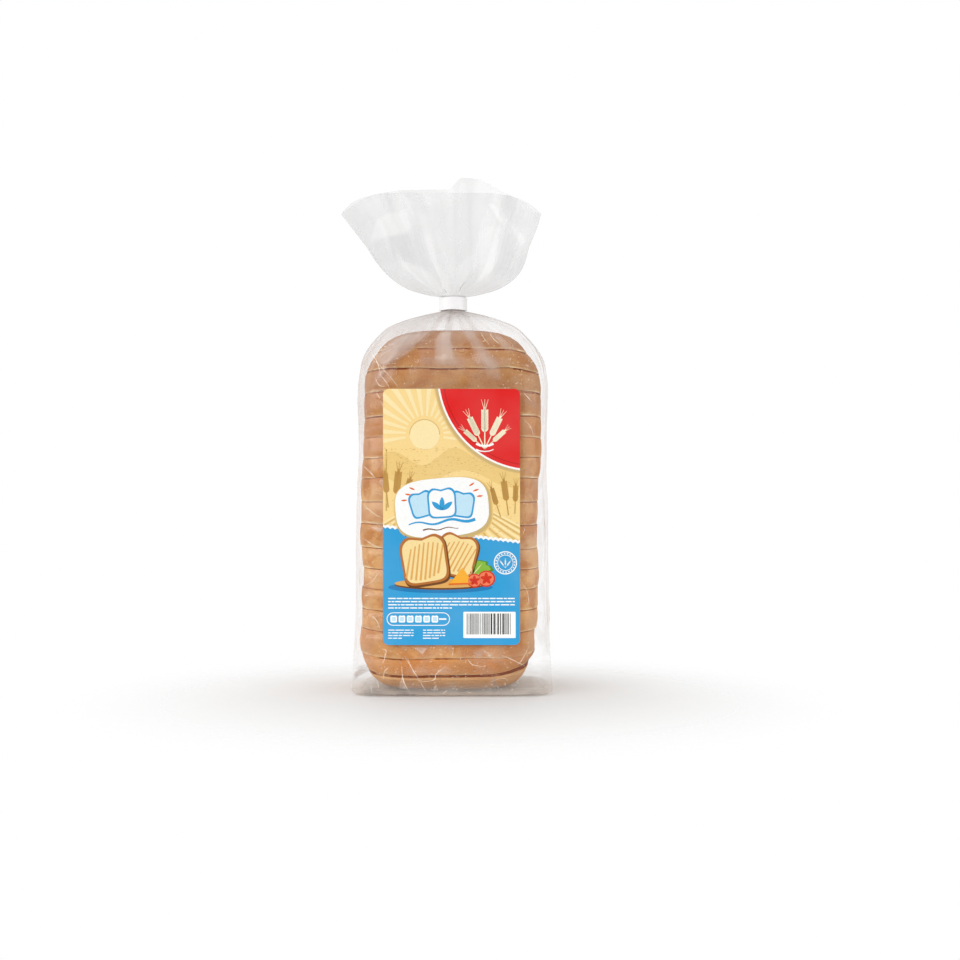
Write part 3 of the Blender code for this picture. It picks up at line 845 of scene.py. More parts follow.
def new_material(name):
    material = bpy.data.materials.new(name)
    material.use_nodes = True
    material.node_tree.nodes.clear()
    return material, material.node_tree


def add(tree, kind, inputs=None, **settings):
    """A shader node with its settings and its unlinked or linked inputs."""
    made = tree.nodes.new(kind)
    for key, value in settings.items():
        setattr(made, key, value)
    for key, value in (inputs or {}).items():
        if isinstance(value, bpy.types.NodeSocket):
            tree.links.new(value, made.inputs[key])
        else:
            made.inputs[key].default_value = value
    return made


def math_node(tree, operation, first, second, clamp=False):
    made = add(tree, "ShaderNodeMath", {0: first, 1: second}, operation=operation)
    made.use_clamp = clamp
    return made.outputs[0]


def times(tree, first, second, clamp=False):
    return math_node(tree, "MULTIPLY", first, second, clamp)


def attribute_node(tree, name):
    return add(tree, "ShaderNodeAttribute", attribute_name=name).outputs["Fac"]


def mix_shaders(tree, factor, first, second):
    return add(tree, "ShaderNodeMixShader", {0: factor, 1: first, 2: second}).outputs[0]


def bump_node(tree, height, strength, distance):
    inputs = {"Height": height, "Strength": strength, "Distance": distance}
    return add(tree, "ShaderNodeBump", inputs).outputs[0]


def principled(tree, color, roughness, specular, **others):
    """A Principled shader; its other inputs are given by their names."""
    inputs = {"Base Color": color, "Roughness": roughness, "Specular IOR Level": specular}
    return add(tree, "ShaderNodeBsdfPrincipled", {**inputs, **others}).outputs[0]


def named_socket(made, name, kind):
    return [socket for socket in made.inputs if socket.name == name and socket.type == kind][0]


def mix_color_node(tree, factor, first, second):
    """A colour mix whose sockets are picked by name and type."""
    made = add(tree, "ShaderNodeMix", data_type="RGBA")
    pairs = (
        (named_socket(made, "Factor", "VALUE"), factor),
        (named_socket(made, "A", "RGBA"), first),
        (named_socket(made, "B", "RGBA"), second),
    )
    for socket, value in pairs:
        if isinstance(value, bpy.types.NodeSocket):
            tree.links.new(value, socket)
        else:
            socket.default_value = value
    return [out for out in made.outputs if out.type == "RGBA"][0]


def noise_node(tree, place, scale, detail=4.0, roughness=0.55):
    """Fractal noise at a scale given in features per metre."""
    inputs = {"Vector": place, "Scale": scale, "Detail": detail, "Roughness": roughness}
    return add(tree, "ShaderNodeTexNoise", inputs).outputs["Fac"]


def ramp(tree, value, low, high, from_value=0.0, to_value=1.0, kind="LINEAR"):
    """A value brought from one range to another, and held at its ends."""
    inputs = {"Value": value, "From Min": low, "From Max": high, "To Min": from_value, "To Max": to_value}
    made = add(tree, "ShaderNodeMapRange", inputs, interpolation_type=kind)
    made.clamp = True
    return made.outputs["Result"]


def stretched(tree, scale):
    """Object coordinates stretched along the axes."""
    place = add(tree, "ShaderNodeTexCoord").outputs["Object"]
    return add(tree, "ShaderNodeMapping", {"Vector": place, "Scale": scale}).outputs["Vector"]


def object_place(tree):
    return add(tree, "ShaderNodeTexCoord").outputs["Object"]


def finish_surface(tree, shader):
    output = tree.nodes.new("ShaderNodeOutputMaterial")
    tree.links.new(shader, output.inputs["Surface"])


# Camera, lights and floor

def make_camera():
    """Level with the label's upper part, straight in front, as the photograph was taken."""
    data = bpy.data.cameras.new("camera")
    data.sensor_width = SENSOR_WIDTH
    data.lens = SENSOR_WIDTH * CAMERA_DISTANCE / (PHOTO_PIXELS * PIXEL)
    camera = bpy.data.objects.new("camera", data)
    bpy.context.scene.collection.objects.link(camera)
    camera.location = (
        AXIS.x + (CENTRE_PIXEL - AXIS_PIXEL) * PIXEL,
        AXIS.y + SCALE_PLANE - CAMERA_DISTANCE,
        CAMERA_HEIGHT,
    )
    camera.rotation_euler = (math.radians(90), 0, 0)
    bpy.context.scene.camera = camera


def make_light(name, place, size, power, target):
    data = bpy.data.lights.new(name, "AREA")
    data.shape = "RECTANGLE"
    data.size, data.size_y = size
    data.energy = power
    light = bpy.data.objects.new(name, data)
    bpy.context.scene.collection.objects.link(light)
    light.location = AXIS + Vector(place)
    aim = AXIS + Vector(target) - light.location
    light.rotation_euler = aim.to_track_quat("-Z", "Y").to_euler()


def make_world():
    """A white backdrop, and a soft studio round it, darker low down, in front and at one side."""
    world = bpy.data.worlds.new("studio")
    bpy.context.scene.world = world
    world.use_nodes = True
    tree = world.node_tree
    tree.nodes.clear()
    place = add(tree, "ShaderNodeTexCoord").outputs["Generated"]
    axes = add(tree, "ShaderNodeSeparateXYZ", {"Vector": place}).outputs
    height = ramp(tree, axes["Z"], *STUDIO_HEIGHT)
    side = ramp(tree, axes["X"], *STUDIO_SIDE)
    strength = times(tree, times(tree, height, side), ramp(tree, axes["Y"], *STUDIO_DEPTH))
    studio = add(tree, "ShaderNodeBackground", {"Color": WHITE, "Strength": strength})
    backdrop = add(tree, "ShaderNodeBackground", {"Color": WHITE, "Strength": 1.0})
    seen = add(tree, "ShaderNodeLightPath").outputs["Is Camera Ray"]
    output = tree.nodes.new("ShaderNodeOutputWorld")
    mixed = mix_shaders(tree, seen, studio.outputs[0], backdrop.outputs[0])
    tree.links.new(mixed, output.inputs["Surface"])


def floor_material():
    """Pale and slightly uneven, fading out into the white backdrop away from the loaf."""
    material, tree = new_material("pale_floor")
    place = object_place(tree)
    color = mix_color_node(tree, noise_node(tree, place, 3.0, detail=2.0), *FLOOR_SHADES)
    away = add(tree, "ShaderNodeVectorMath", {0: place}, operation="LENGTH").outputs["Value"]
    fade = ramp(tree, away, FLOOR_SOLID_RADIUS, FLOOR_RADIUS, kind="SMOOTHSTEP")
    clear = add(tree, "ShaderNodeBsdfTransparent").outputs[0]
    finish_surface(tree, mix_shaders(tree, fade, principled(tree, color, 0.55, 0.2), clear))
    return material


def make_floor():
    mesh = bmesh.new()
    bmesh.ops.create_circle(mesh, cap_ends=True, segments=FLOOR_CORNERS, radius=FLOOR_RADIUS)
    data = bpy.data.meshes.new("floor")
    mesh.to_mesh(data)
    mesh.free()
    floor = bpy.data.objects.new("floor", data)
    bpy.context.scene.collection.objects.link(floor)
    floor.location = (AXIS.x, AXIS.y - FLOOR_FORWARD, -FLOOR_DROP)
    data.materials.append(floor_material())


def set_up_studio():
    scene = bpy.context.scene
    scene.view_settings.view_transform = "Standard"
    scene.cycles.transparent_max_bounces = MOST_CLEAR_SHEETS
    make_camera()
    make_world()
    make_floor()
    for light in LIGHTS:
        make_light(*light)


# The slices

def slice_heights():
    """The heights of the faces between the slices, from floor to top."""
    heights = [LOAF_BOTTOM]
    for thickness in SLICE_THICKNESS:
        heights.append(heights[-1] + thickness * MM)
    return heights


def curl(x):
    """How much the lowest line curls up at places to the right, from 0 on."""
    return np.clip((x - CURL_START) / CURL_REACH, 0, CURL_LARGEST) ** CURL_POWER


def face_warp(index, x, y, level):
    """How far the cut under slice number index stands off its level at a place."""
    if index in (0, len(SLICE_THICKNESS)):
        return 0 * x
    rng = random.Random(SEED * 100 + index)
    tilt_x = rng.uniform(-CUT_TILT_ACROSS, CUT_TILT_ACROSS) * MM
    tilt_y = rng.uniform(-CUT_TILT_INWARD, CUT_TILT_INWARD) * MM
    phase = rng.uniform(0, LARGEST_PHASE)
    across = x / CUT_HALF_WIDTH
    inward = y / CUT_HALF_DEPTH
    wave = CUT_WAVE * np.sin(4.5 * across + phase)
    wave = wave + CUT_RIPPLE * np.sin(13 * across + 2 * phase + 4 * inward)
    corner = np.clip((np.abs(across) - CORNER_START) / (1 - CORNER_START), 0, 1) ** CORNER_POWER
    off_centre = (level - SAG_CENTRE) / SAG_REACH
    sag = np.where(x < 0, LEFT_SAG * off_centre, RIGHT_SAG * off_centre**3) * corner
    if index == 1:
        sag = np.where(x < 0, sag, -CURL_RISE * curl(x))
        tilt_x = 0.0
    return tilt_x * across + tilt_y * inward + wave * MM - sag


def slice_shift(index, share):
    """How far a slice is shifted at a share of its height: towards its neighbour near each cut."""
    mine = SLICE_SHIFT[index]
    other = index + (1 if share > 0.5 else -1)
    neighbour = SLICE_SHIFT[min(max(other, 0), len(SLICE_SHIFT) - 1)]
    return (mine + NEIGHBOUR_SHARE * (neighbour - mine) * abs(2 * share - 1) ** 1.5) * MM


def slice_outline(index, angle, low, high, share, inset):
    """Points of a slice's outline at a share of its height, drawn in by an inset."""
    rng = random.Random(SEED * 10 + index)
    half_width, half_depth, squareness = along(LOAF_SECTIONS, (low + share * (high - low)) / MM)
    half_width = (half_width + rng.uniform(*WIDTH_CHANGE)) * MM
    half_depth = (half_depth + rng.uniform(*DEPTH_CHANGE)) * MM
    x, y, across, inward = superellipse(angle, half_width, half_depth, squareness)
    phase = rng.uniform(0, LARGEST_PHASE)
    wobble = SIDE_WAVE * np.sin(3 * angle + phase) + SIDE_RIPPLE * np.sin(7 * angle + 2.1 * phase)
    lean = rng.uniform(-SLICE_LEAN, SLICE_LEAN) * (share - 0.5) * np.cos(angle)
    shift_y = rng.uniform(-DEPTH_SHIFT, DEPTH_SHIFT) * MM
    out = (wobble + lean) * MM - inset
    return x + across * out + slice_shift(index, share), y + inward * out + shift_y


def slice_rings(index, low, high, rng):
    """A slice's rings from cut to cut: share of its height, inset, darkness of browned crust and painted gap
    shadow, and size.
    """
    lower_round = rng.uniform(*LOWER_ROUND) * MM
    upper_round = rng.uniform(*UPPER_ROUND) * MM
    line_start = 1 - LINE_WIDTH * LINE_WIDTHS.get(index + 1, 1.0) / (high - low)
    side = (
        (0.0, 0.9 * lower_round, 0.5),
        (0.012, 0.4 * lower_round, 0.0),
        (0.03, 0.15 * lower_round, 0.0),
        (0.06, 0.0, 0.0),
        (0.14, 0.0, 0.0),
        (0.3, -SIDE_SWELL, 0.0),
        (0.5, -MIDDLE_SWELL, 0.0),
        (0.7, -SIDE_SWELL, 0.0),
        (0.86, 0.0, 0.0),
        (line_start - 0.012, 0.15 * upper_round, 0.0),
        (line_start, 0.3 * upper_round, 1.0),
        (0.5 + 0.5 * line_start, 0.6 * upper_round, 1.0),
        (1.0, upper_round, 1.0),
    )
    rings = [(0.0, 0.9 * lower_round, CUT_BROWNNESS, size) for size in CUT_RINGS]
    rings += [(share, inset, shade_and_brown, 1.0) for share, inset, shade_and_brown in side]
    rings += [(1.0, 1.1 * upper_round, CUT_BROWNNESS, size) for size in CUT_RINGS[::-1]]
    return rings


def crust_looks(index, low, rng):
    """How warm a slice's crust is, and how dark or, below 0, how pale."""
    warm = rng.uniform(0.0, LARGEST_EXTRA_WARMTH)
    warm += LOW_WARMTH * float(1 - smoothstep(*LOW_WARM_HEIGHTS, low))
    band = smoothstep(*WARM_BAND_BOTTOM, low) * (1 - smoothstep(*WARM_BAND_TOP, low))
    warm += BAND_WARMTH * float(band)
    tone = rng.uniform(0.0, LARGEST_EXTRA_TONE) + UPPER_TONE * float(smoothstep(*UPPER_TONE_HEIGHTS, low))
    if index == len(SLICE_THICKNESS) - 1:
        tone += TOP_SLICE_TONE
    if index == 0:
        tone -= BOTTOM_SLICE_PALER
    return warm, tone


def make_slice(index, heights, material_side, material_cut):
    """One slice: crust round the side, a small round at each cut edge, and crumb on the cuts."""
    last = len(SLICE_THICKNESS) - 1
    low = heights[index] + SLICE_GAP / 2 * (index > 0)
    high = heights[index + 1] - SLICE_GAP / 2 * (index < last)
    angle = even_angles(*along(LOAF_SECTIONS, (low + high) / 2 / MM), SLICE_POINTS)
    rng = random.Random(SEED * 31 + index)
    rows = []
    edges = []
    for share, inset, shade_and_brown, size in slice_rings(index, low, high, rng):
        x, y = slice_outline(index, angle, low, high, share, inset)
        x = x * size
        y = y * size
        line = line_strength(index + 1, x, y) if share > 0.5 else np.ones(SLICE_POINTS)
        # Browned crust and painted shadow in the gaps, along the cut edges
        edges.append(shade_and_brown * line)
        bottom = low + face_warp(index, x, y, heights[index])
        top = high + face_warp(index + 1, x, y, heights[index + 1])
        rows.append(np.stack([x + AXIS.x, y + AXIS.y, bottom + (top - bottom) * share], axis=1))
    piece = grid_object(f"slice_{index + 1:02d}", rows, closed_start=True)
    close_last_ring(piece, len(rows))
    warm, tone = crust_looks(index, low, rng)
    # The edge attribute holds browned crust edges and painted shadow in the gaps
    write_attribute(piece, "edge", np.concatenate(edges))
    write_attribute(piece, "cream", cream_rims(index, angle, len(rows)))
    write_attribute(piece, "tone", np.full(len(piece.data.vertices), tone))
    write_attribute(piece, "warm", np.full(len(piece.data.vertices), warm))
    piece.data.materials.append(material_side)
    piece.data.materials.append(material_cut)
    cuts = len(CUT_RINGS)
    for face in piece.data.polygons:
        level = face.index // SLICE_POINTS
        is_low_cut = level < cuts - 1 or face.index == SLICE_POINTS * (len(rows) - 1)
        is_high_cut = level > len(rows) - cuts - 1 and not is_low_cut
        if (is_low_cut and index > 0) or (is_high_cut and index < last):
            face.material_index = 1
    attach(piece, "root")
    return piece


def line_strength(gap, x, y):
    """How dark the line in a gap, browned edge and painted shadow, is at points round the loaf."""
    usual = LINE_DARKNESS[gap] if gap < len(LINE_DARKNESS) else USUAL_LINE_DARKNESS
    if gap not in LINE_SPANS:
        return np.full(len(x), usual)
    listed = 0 * x
    for start, end, strength in LINE_SPANS[gap]:
        inside = smoothstep(start * MM - LINE_SPAN_END, start * MM + LINE_SPAN_END, x)
        inside = inside * (1 - smoothstep(end * MM - LINE_SPAN_END, end * MM + LINE_SPAN_END, x))
        listed = listed + strength * inside
    return np.where(y < FRONT_FACE, listed, usual)


def cream_rims(index, angle, row_count):
    """Where the knife left pale crumb along a slice's lower edge, partly a painted highlight strongest at the
    sides: most of it, in uneven patches.
    """
    rng = random.Random(SEED * 53 + index)
    first = rng.uniform(0, LARGEST_PHASE)
    second = rng.uniform(0, LARGEST_PHASE)
    patches = np.sin(2 * angle + first) + np.sin(7 * angle + second)
    strength = CREAM_STRENGTH + CREAM_AT_SIDE * np.cos(angle) ** 2 + CREAM_PATCHES * patches
    values = np.zeros((row_count, SLICE_POINTS))
    if index > 0:
        start = len(CUT_RINGS)
        values[start:start + CREAM_RINGS] = strength
        values[start + CREAM_RINGS] = CREAM_FADE * strength
    return np.clip(values, 0, 1).ravel()


def close_last_ring(piece, row_count):
    """Closes the upper cut's small middle ring with one face."""
    mesh = bmesh.new()
    mesh.from_mesh(piece.data)
    mesh.verts.ensure_lookup_table()
    start = (row_count - 1) * SLICE_POINTS
    mesh.faces.new([mesh.verts[start + k] for k in range(SLICE_POINTS)])
    mesh.to_mesh(piece.data)
    mesh.free()
    piece.data.shade_smooth()


def crust_material():
    """Thin pan crust: blotches, pits and specks, brown cut edges with painted shadow in the gaps, and cream
    where it tore, partly a painted highlight.
    """
    material, tree = new_material("bread_crust")
    place = object_place(tree)
    blotch = noise_node(tree, place, 62.0, detail=5.0, roughness=0.6)
    cloud = noise_node(tree, place, 26.0, detail=3.0)
    grain = noise_node(tree, place, 1000.0, detail=3.0, roughness=0.7)
    streak = noise_node(tree, stretched(tree, CRUST_STREAKS), 1.0, detail=5.0, roughness=0.7)
    pits = add(tree, "ShaderNodeTexVoronoi", {"Vector": place, "Scale": 420.0}).outputs["Distance"]
    pit = ramp(tree, pits, *PIT_RAMP)
    tone = attribute_node(tree, "tone")
    broken = ramp(tree, streak, *BROKEN_EDGE_RAMP)
    ragged = ramp(tree, streak, *RAGGED_RAMP)
    color = mix_color_node(tree, ramp(tree, blotch, *BLOTCH_RAMP), CRUST_TAN, CRUST_PALE)
    layers = (
        (times(tree, attribute_node(tree, "warm"), 0.6), CRUST_ORANGE),
        (times(tree, ramp(tree, cloud, *CLOUD_RAMP), 0.32), CRUST_BROWN),
        (times(tree, ramp(tree, streak, *STREAK_RAMP), 0.38), CRUST_BROWN),
        (times(tree, tone, 0.42, clamp=True), CRUST_BROWN),
        (times(tree, tone, -0.9, clamp=True), CRUST_LIGHT),
        (times(tree, pit, ramp(tree, blotch, *PIT_SHARE_RAMP)), CRUST_BROWN),
        (times(tree, ramp(tree, grain, *GRAIN_RAMP), 0.2), CRUST_PALE),
        # Browned cut edges darkened by painted shadow in the gaps between slices
        (times(tree, attribute_node(tree, "edge"), broken, clamp=True), GAP_SHADE_RED_BROWN),
        # Pale crumb along the lower edges, partly a painted highlight
        (times(tree, attribute_node(tree, "cream"), ragged, clamp=True), CRUST_CREAM),
    )
    for share, paint in layers:
        color = mix_color_node(tree, share, color, paint)
    relief = math_node(tree, "ADD", times(tree, grain, 0.4), streak)
    relief = math_node(tree, "SUBTRACT", relief, times(tree, pit, 0.5))
    bump = bump_node(tree, relief, 0.5, 0.7 * MM)
    finish_surface(tree, principled(tree, color, 0.65, 0.2, Normal=bump))
    return material


def crumb_material():
    """Soft cream crumb with small uneven holes."""
    material, tree = new_material("bread_crumb")
    place = object_place(tree)
    holes = add(tree, "ShaderNodeTexVoronoi", {"Vector": place, "Scale": 620.0}).outputs["Distance"]
    cloud = noise_node(tree, place, 120.0, detail=3.0)
    depth = ramp(tree, holes, *CRUMB_RAMP)
    color = mix_color_node(tree, depth, CRUMB_HOLE, CRUMB_PALE)
    color = mix_color_node(tree, times(tree, cloud, 0.3), color, CRUMB_WARM)
    bump = bump_node(tree, depth, 0.6, 0.5 * MM)
    finish_surface(tree, principled(tree, color, 0.85, 0.2, Normal=bump))
    return material


def make_loaf():
    heights = slice_heights()
    crust = crust_material()
    crumb = crumb_material()
    return [make_slice(index, heights, crust, crumb) for index in range(len(SLICE_THICKNESS))]


# The film

def fold_place(x, y, fold):
    """Places across a shoulder fold's side, with a mask of the points that are on that side."""
    side = fold[0]
    if side in ("front", "back"):
        return x, (y < 0) == (side == "front")
    return y, (x < 0) == (side == "left")


def fold_offset(x, y, height, fold):
    """Each point's distance across a shoulder fold, in half widths, and the fold's strength there."""
    _, at_neck, at_end, low_z, width, _, _ = fold
    down = (NECK_BOTTOM - height) / (NECK_BOTTOM - low_z * MM)
    middle = (at_neck + (at_end - at_neck) * min(1.0, down) ** FOLD_PATH_POWER) * MM
    across, mine = fold_place(x, y, fold)
    widening = (1 - FOLD_NECK_WIDTH) * min(1.0, down) ** FOLD_WIDTH_POWER
    spread = width * MM * (FOLD_NECK_WIDTH + widening)
    strength = mine * float(1 - smoothstep(*FOLD_END, down))
    return (across - middle) / spread, strength


def fold_profile(x, y, height, fold):
    """How much a shoulder fold stands out at each point of one level, from 0 to 1."""
    offset, strength = fold_offset(x, y, height, fold)
    return np.exp(-(offset**2)) * strength


def fold_reflection_veil(x, y, height, fold):
    """A milky band along a shoulder fold, partly a painted reflection, with one sharp edge and one soft edge.
    """
    offset, strength = fold_offset(x, y, height, fold)
    return smoothstep(*VEIL_SHARP_EDGE, offset) * (1 - smoothstep(*VEIL_SOFT_EDGE, offset)) * strength


def body_row(height):
    """The film round the loaf at one height: gathers, dips between slices and slack at the sides."""
    half_width, half_depth, squareness = along(BODY_SECTIONS, height / MM)
    angle = even_angles(half_width, half_depth, squareness, FILM_COLUMNS)
    half_width *= MM
    half_depth *= MM
    x, y, across, inward = superellipse(angle, half_width, half_depth, squareness)
    gathered = smoothstep(SHOULDER_PLEAT_START, NECK_BOTTOM, height)
    fade = min(1.0, half_width / PLEAT_FADE_WIDTH)
    out = SHOULDER_PLEAT_DEPTH * gathered * fade * pleat(angle, 0.0)
    for fold in SHOULDER_FOLDS:
        out += fold[5] * MM * fade * fold_profile(x, y, height, fold)
    tight = np.abs(inward)
    for level in slice_heights()[1:-1]:
        near = np.exp(-(((height - level) / GROOVE_HALF_WIDTH) ** 2))
        out -= GROOVE_DEPTH * near * tight
    row = np.stack([x + AXIS.x, y + AXIS.y, np.full(FILM_COLUMNS, height)], axis=1)
    slack = (1 - tight) * smoothstep(*SLACK_HEIGHTS, height)
    billow = sheet_noise(row, *SLACK_NOISE) + SLACK_FINE_SHARE * sheet_noise(row, *SLACK_FINE_NOISE)
    out += slack * billow * SLACK_DEPTH
    calm = 1 - CALM_SHARE * float(smoothstep(*CALM_HEIGHTS, height))
    dents = DENT_DEPTH * sheet_noise(row, *DENT_NOISE)
    dents = dents + FINE_DENT_DEPTH * sheet_noise(row, *FINE_DENT_NOISE)
    out += dents * MM * calm
    row[:, 0] += across * out
    row[:, 1] += inward * out
    return row


def neck_row(height):
    """The gathered film at one height of the neck."""
    angle = even_angles(NECK_HALF_WIDTH, NECK_HALF_DEPTH, 2.0, FILM_COLUMNS)
    x, y, across, inward = superellipse(angle, NECK_HALF_WIDTH, NECK_HALF_DEPTH, 2.0)
    out = NECK_PLEAT_DEPTH * (pleat(angle, 0.0) - 1)
    levels = np.full(FILM_COLUMNS, height)
    return np.stack([x + across * out + AXIS.x, y + inward * out + AXIS.y, levels], axis=1)


def ruff_fold_profile(angle, share, half_width, fold):
    """How much a fold of the ruff shows round the bag at a share of the way to the rim."""
    at_neck, at_rim, start, end, width, _, _ = fold
    middle = math.radians(at_neck + (at_rim - at_neck) * share**RUFF_FOLD_PATH_POWER)
    away = np.abs((angle - middle + math.pi) % (2 * math.pi) - math.pi)
    spread = width * MM * (RUFF_FOLD_NECK_WIDTH + (1 - RUFF_FOLD_NECK_WIDTH) * share)
    power = RUFF_RIDGE_POWER + RUFF_RIDGE_POWER_GAIN * share
    ridge = np.exp(-(np.sqrt((away * half_width / spread) ** 2 + RUFF_RIDGE_ROUNDING) ** power))
    shown = smoothstep(start - RUFF_FOLD_START, start + RUFF_FOLD_START, share)
    shown = shown * (1 - smoothstep(end - RUFF_FOLD_END, end, share))
    return ridge * float(shown) * min(1.0, RUFF_FOLD_NECK_HEIGHT + RUFF_FOLD_HEIGHT_GAIN * share)


def ruff_row(share):
    """The film of the ruff at a share of the way from neck to rim."""
    half_width, half_depth, side_z, front_z, lean = along(RUFF_SECTIONS, share)
    angle = even_angles(half_width, half_depth, RUFF_SQUARENESS, FILM_COLUMNS)
    depth = RUFF_PLEAT_DEPTH * share + NECK_PLEAT_DEPTH * (1 - share)
    x, y, across, inward = superellipse(angle, half_width * MM, half_depth * MM, RUFF_SQUARENESS)
    to_side = np.abs(np.cos(angle)) ** SIDE_DROP_POWER
    z = front_z * MM + (side_z - front_z) * MM * to_side
    back = np.maximum(0.0, np.sin(angle)) * share**2
    peak = smoothstep(*BACK_PEAK_LEFT, x) * (1 - smoothstep(*BACK_PEAK_RIGHT, x))
    z = z + back * (BACK_RIM_RISE + BACK_PEAK_RISE * peak) * (1 - to_side)
    evened = 1 - (1 - RUFF_SIDE_PLEAT_SHARE) * to_side
    out = depth * pleat(angle, RUFF_TWIST * share) * evened
    row = np.stack([x + lean * MM + AXIS.x, y + AXIS.y, z], axis=1)
    out = out + RUFF_WAVE * share * sheet_noise(row - np.array(AXIS), *RUFF_WAVE_NOISE)
    for fold in RUFF_FOLDS:
        out = out + fold[5] * MM * ruff_fold_profile(angle, share, half_width * MM, fold)
    near_neck = math.exp(-share / FINE_GATHER_REACH) * min(1.0, FINE_GATHER_RISE * share)
    gathers = np.sin(FINE_GATHERS * angle + 3 * np.sin(4 * angle))
    out = out + FINE_GATHER_DEPTH * near_neck * gathers
    row[:, 0] += across * out
    row[:, 1] += inward * out
    return row


def push_off(points, bread, clearance):
    """Film points moved out of the bread to the clearance, with their distance to it."""
    moved = points.copy()
    gaps = np.full(len(points), LARGEST_GAP)
    for k, point in enumerate(points):
        place, normal, _, distance = bread.find_nearest(Vector(point), LARGEST_GAP)
        if place is None:
            continue
        inside = (Vector(point) - place).dot(normal) < 0
        gaps[k] = distance
        if inside or distance < clearance:
            moved[k] = place + normal * clearance
            gaps[k] = clearance
    return moved, gaps


def bread_tree(slices):
    """One search tree over all the slices."""
    vertices = []
    faces = []
    for piece in slices:
        start = len(vertices)
        vertices.extend(v.co.copy() for v in piece.data.vertices)
        faces.extend([start + k for k in f.vertices] for f in piece.data.polygons)
    return BVHTree.FromPolygons(vertices, faces)


def side_foot(y, height):
    """1 low down on the sides and the back, where the film is clearest, and 0 elsewhere."""
    low_down = float(1 - smoothstep(*SIDE_FOOT_HEIGHTS, height))
    return smoothstep(*SIDE_FOOT_PLACES, y) * low_down


def low_haze(x, y, height):
    """The extra milkiness of the film by the floor, most of it in front."""
    left_side = smoothstep(*LOW_LEFT_PLACES, -x)
    nearer = 1 - LOW_BACK_CLEARING * smoothstep(*LOW_BACK_PLACES, y)
    low = (LOW_HAZE - LOW_LEFT_CLEARING * left_side) * float(1 - smoothstep(*LOW_HEIGHTS, height))
    return (low + HEM_HAZE * float(1 - smoothstep(*HEM_HEIGHTS, height))) * nearer


def body_haze(row, gap):
    """How milky the film round the loaf is at the points of one level, with painted reflections along folds
    and patches.
    """
    height = float(np.mean(row[:, 2]))
    x = row[:, 0] - AXIS.x
    y = row[:, 1] - AXIS.y
    billow = sheet_noise(row, *BILLOW_NOISE) + 0.5 * sheet_noise(row, *BILLOW_FINE_NOISE)
    value = LEAST_HAZE + BILLOW_HAZE * smoothstep(*BILLOW_BAND, billow)
    value = value + GAP_HAZE * smoothstep(*GAP_BAND, gap)
    upper_left = float(smoothstep(*UPPER_LEFT_HEIGHTS, height)) * smoothstep(*UPPER_LEFT_PLACES, -x)
    value = value + UPPER_LEFT_HAZE * upper_left * smoothstep(*UPPER_LEFT_GAPS, gap)
    value = value + SHOULDER_HAZE * float(smoothstep(*SHOULDER_HEIGHTS, height))
    # Milky bands along the shoulder folds, partly painted reflections
    for fold in SHOULDER_FOLDS:
        share = FRONT_FOLD_SHARE if fold[0] == "front" else 1.0
        value = value + share * fold[6] * fold_reflection_veil(x, y, height, fold)
    # The listed front patches, partly painted reflections
    value = value + front_reflection_veils(x, y, height) + low_haze(x, y, height)
    value = value * (1 - SIDE_FOOT_CLEARING * side_foot(y, height))
    value = value + GATHERED_HAZE * float(smoothstep(*GATHERED_HEIGHTS, height))
    line_away = (height - LOWEST_LINE - CURL_RISE * curl(x)) / LINE_CLEARING
    value = value * (1 - LOWEST_LINE_CLEARING * np.exp(-(line_away**2)) * (y < 0))
    strips = smoothstep(*STRIP_BOTTOM, height) * (1 - smoothstep(*STRIP_TOP, height))
    clinging = 1 - smoothstep(*STRIP_GAPS, gap)
    return value * (1 - STRIP_CLEARING * float(strips) * clinging)


def ruff_haze(share):
    """How milky the ruff is at the points of one level, at a share of the way to its rim."""
    half_width, half_depth = along(RUFF_SECTIONS, share)[:2]
    angle = even_angles(half_width, half_depth, RUFF_SQUARENESS, FILM_COLUMNS)
    value = np.full(FILM_COLUMNS, RUFF_HAZE + RUFF_START_HAZE * math.exp(-share / RUFF_START_REACH))
    for fold in RUFF_FOLDS:
        value = value + fold[6] * ruff_fold_profile(angle, share, half_width * MM, fold)
    return value


def film_haze(foot, body, neck, gaps):
    """How milky the film is at each point: least where it touches the bread, most at the neck."""
    values = [np.full(FILM_COLUMNS, FOOT_HAZE) for _ in foot]
    values += [body_haze(row, gap) for row, gap in zip(body, gaps)]
    values += [np.full(FILM_COLUMNS, NECK_HAZE) for _ in neck]
    values += [ruff_haze((k + 1) / FILM_RUFF_LEVELS) for k in range(FILM_RUFF_LEVELS)]
    values[-1] = values[-1] + RIM_HAZE
    return np.clip(np.concatenate(values), 0.0, 1.0)


def inside_patch(x, z, corners, softness):
    """How far inside a patch each point is, from 0 outside to 1, with a soft edge."""
    nearest = np.full(len(x), np.inf)
    crossings = np.zeros(len(x), bool)
    for (ax, az), (bx, bz) in zip(corners, corners[1:] + corners[:1]):
        across = bx - ax
        up = bz - az
        share = ((x - ax) * across + (z - az) * up) / (across**2 + up**2)
        share = np.clip(share, 0, 1)
        nearest = np.minimum(nearest, np.hypot(x - ax - share * across, z - az - share * up))
        if az != bz:
            straddles = (az > z) != (bz > z)
            crossings ^= straddles & (x < ax + across * (z - az) / up)
    return smoothstep(-softness, softness, np.where(crossings, nearest, -nearest))


def front_reflection_veils(x, y, height):
    """The milkiness, partly a painted reflection, that the listed patches give the front's film at one
    height.
    """
    total = 0 * x
    for softness, milkiness, corners in FRONT_REFLECTION_VEILS:
        heights = [z for _, z in corners]
        if min(heights) - softness < height / MM < max(heights) + softness:
            total = total + milkiness * inside_patch(x / MM, height / MM, corners, softness)
    return total * (y < 0)


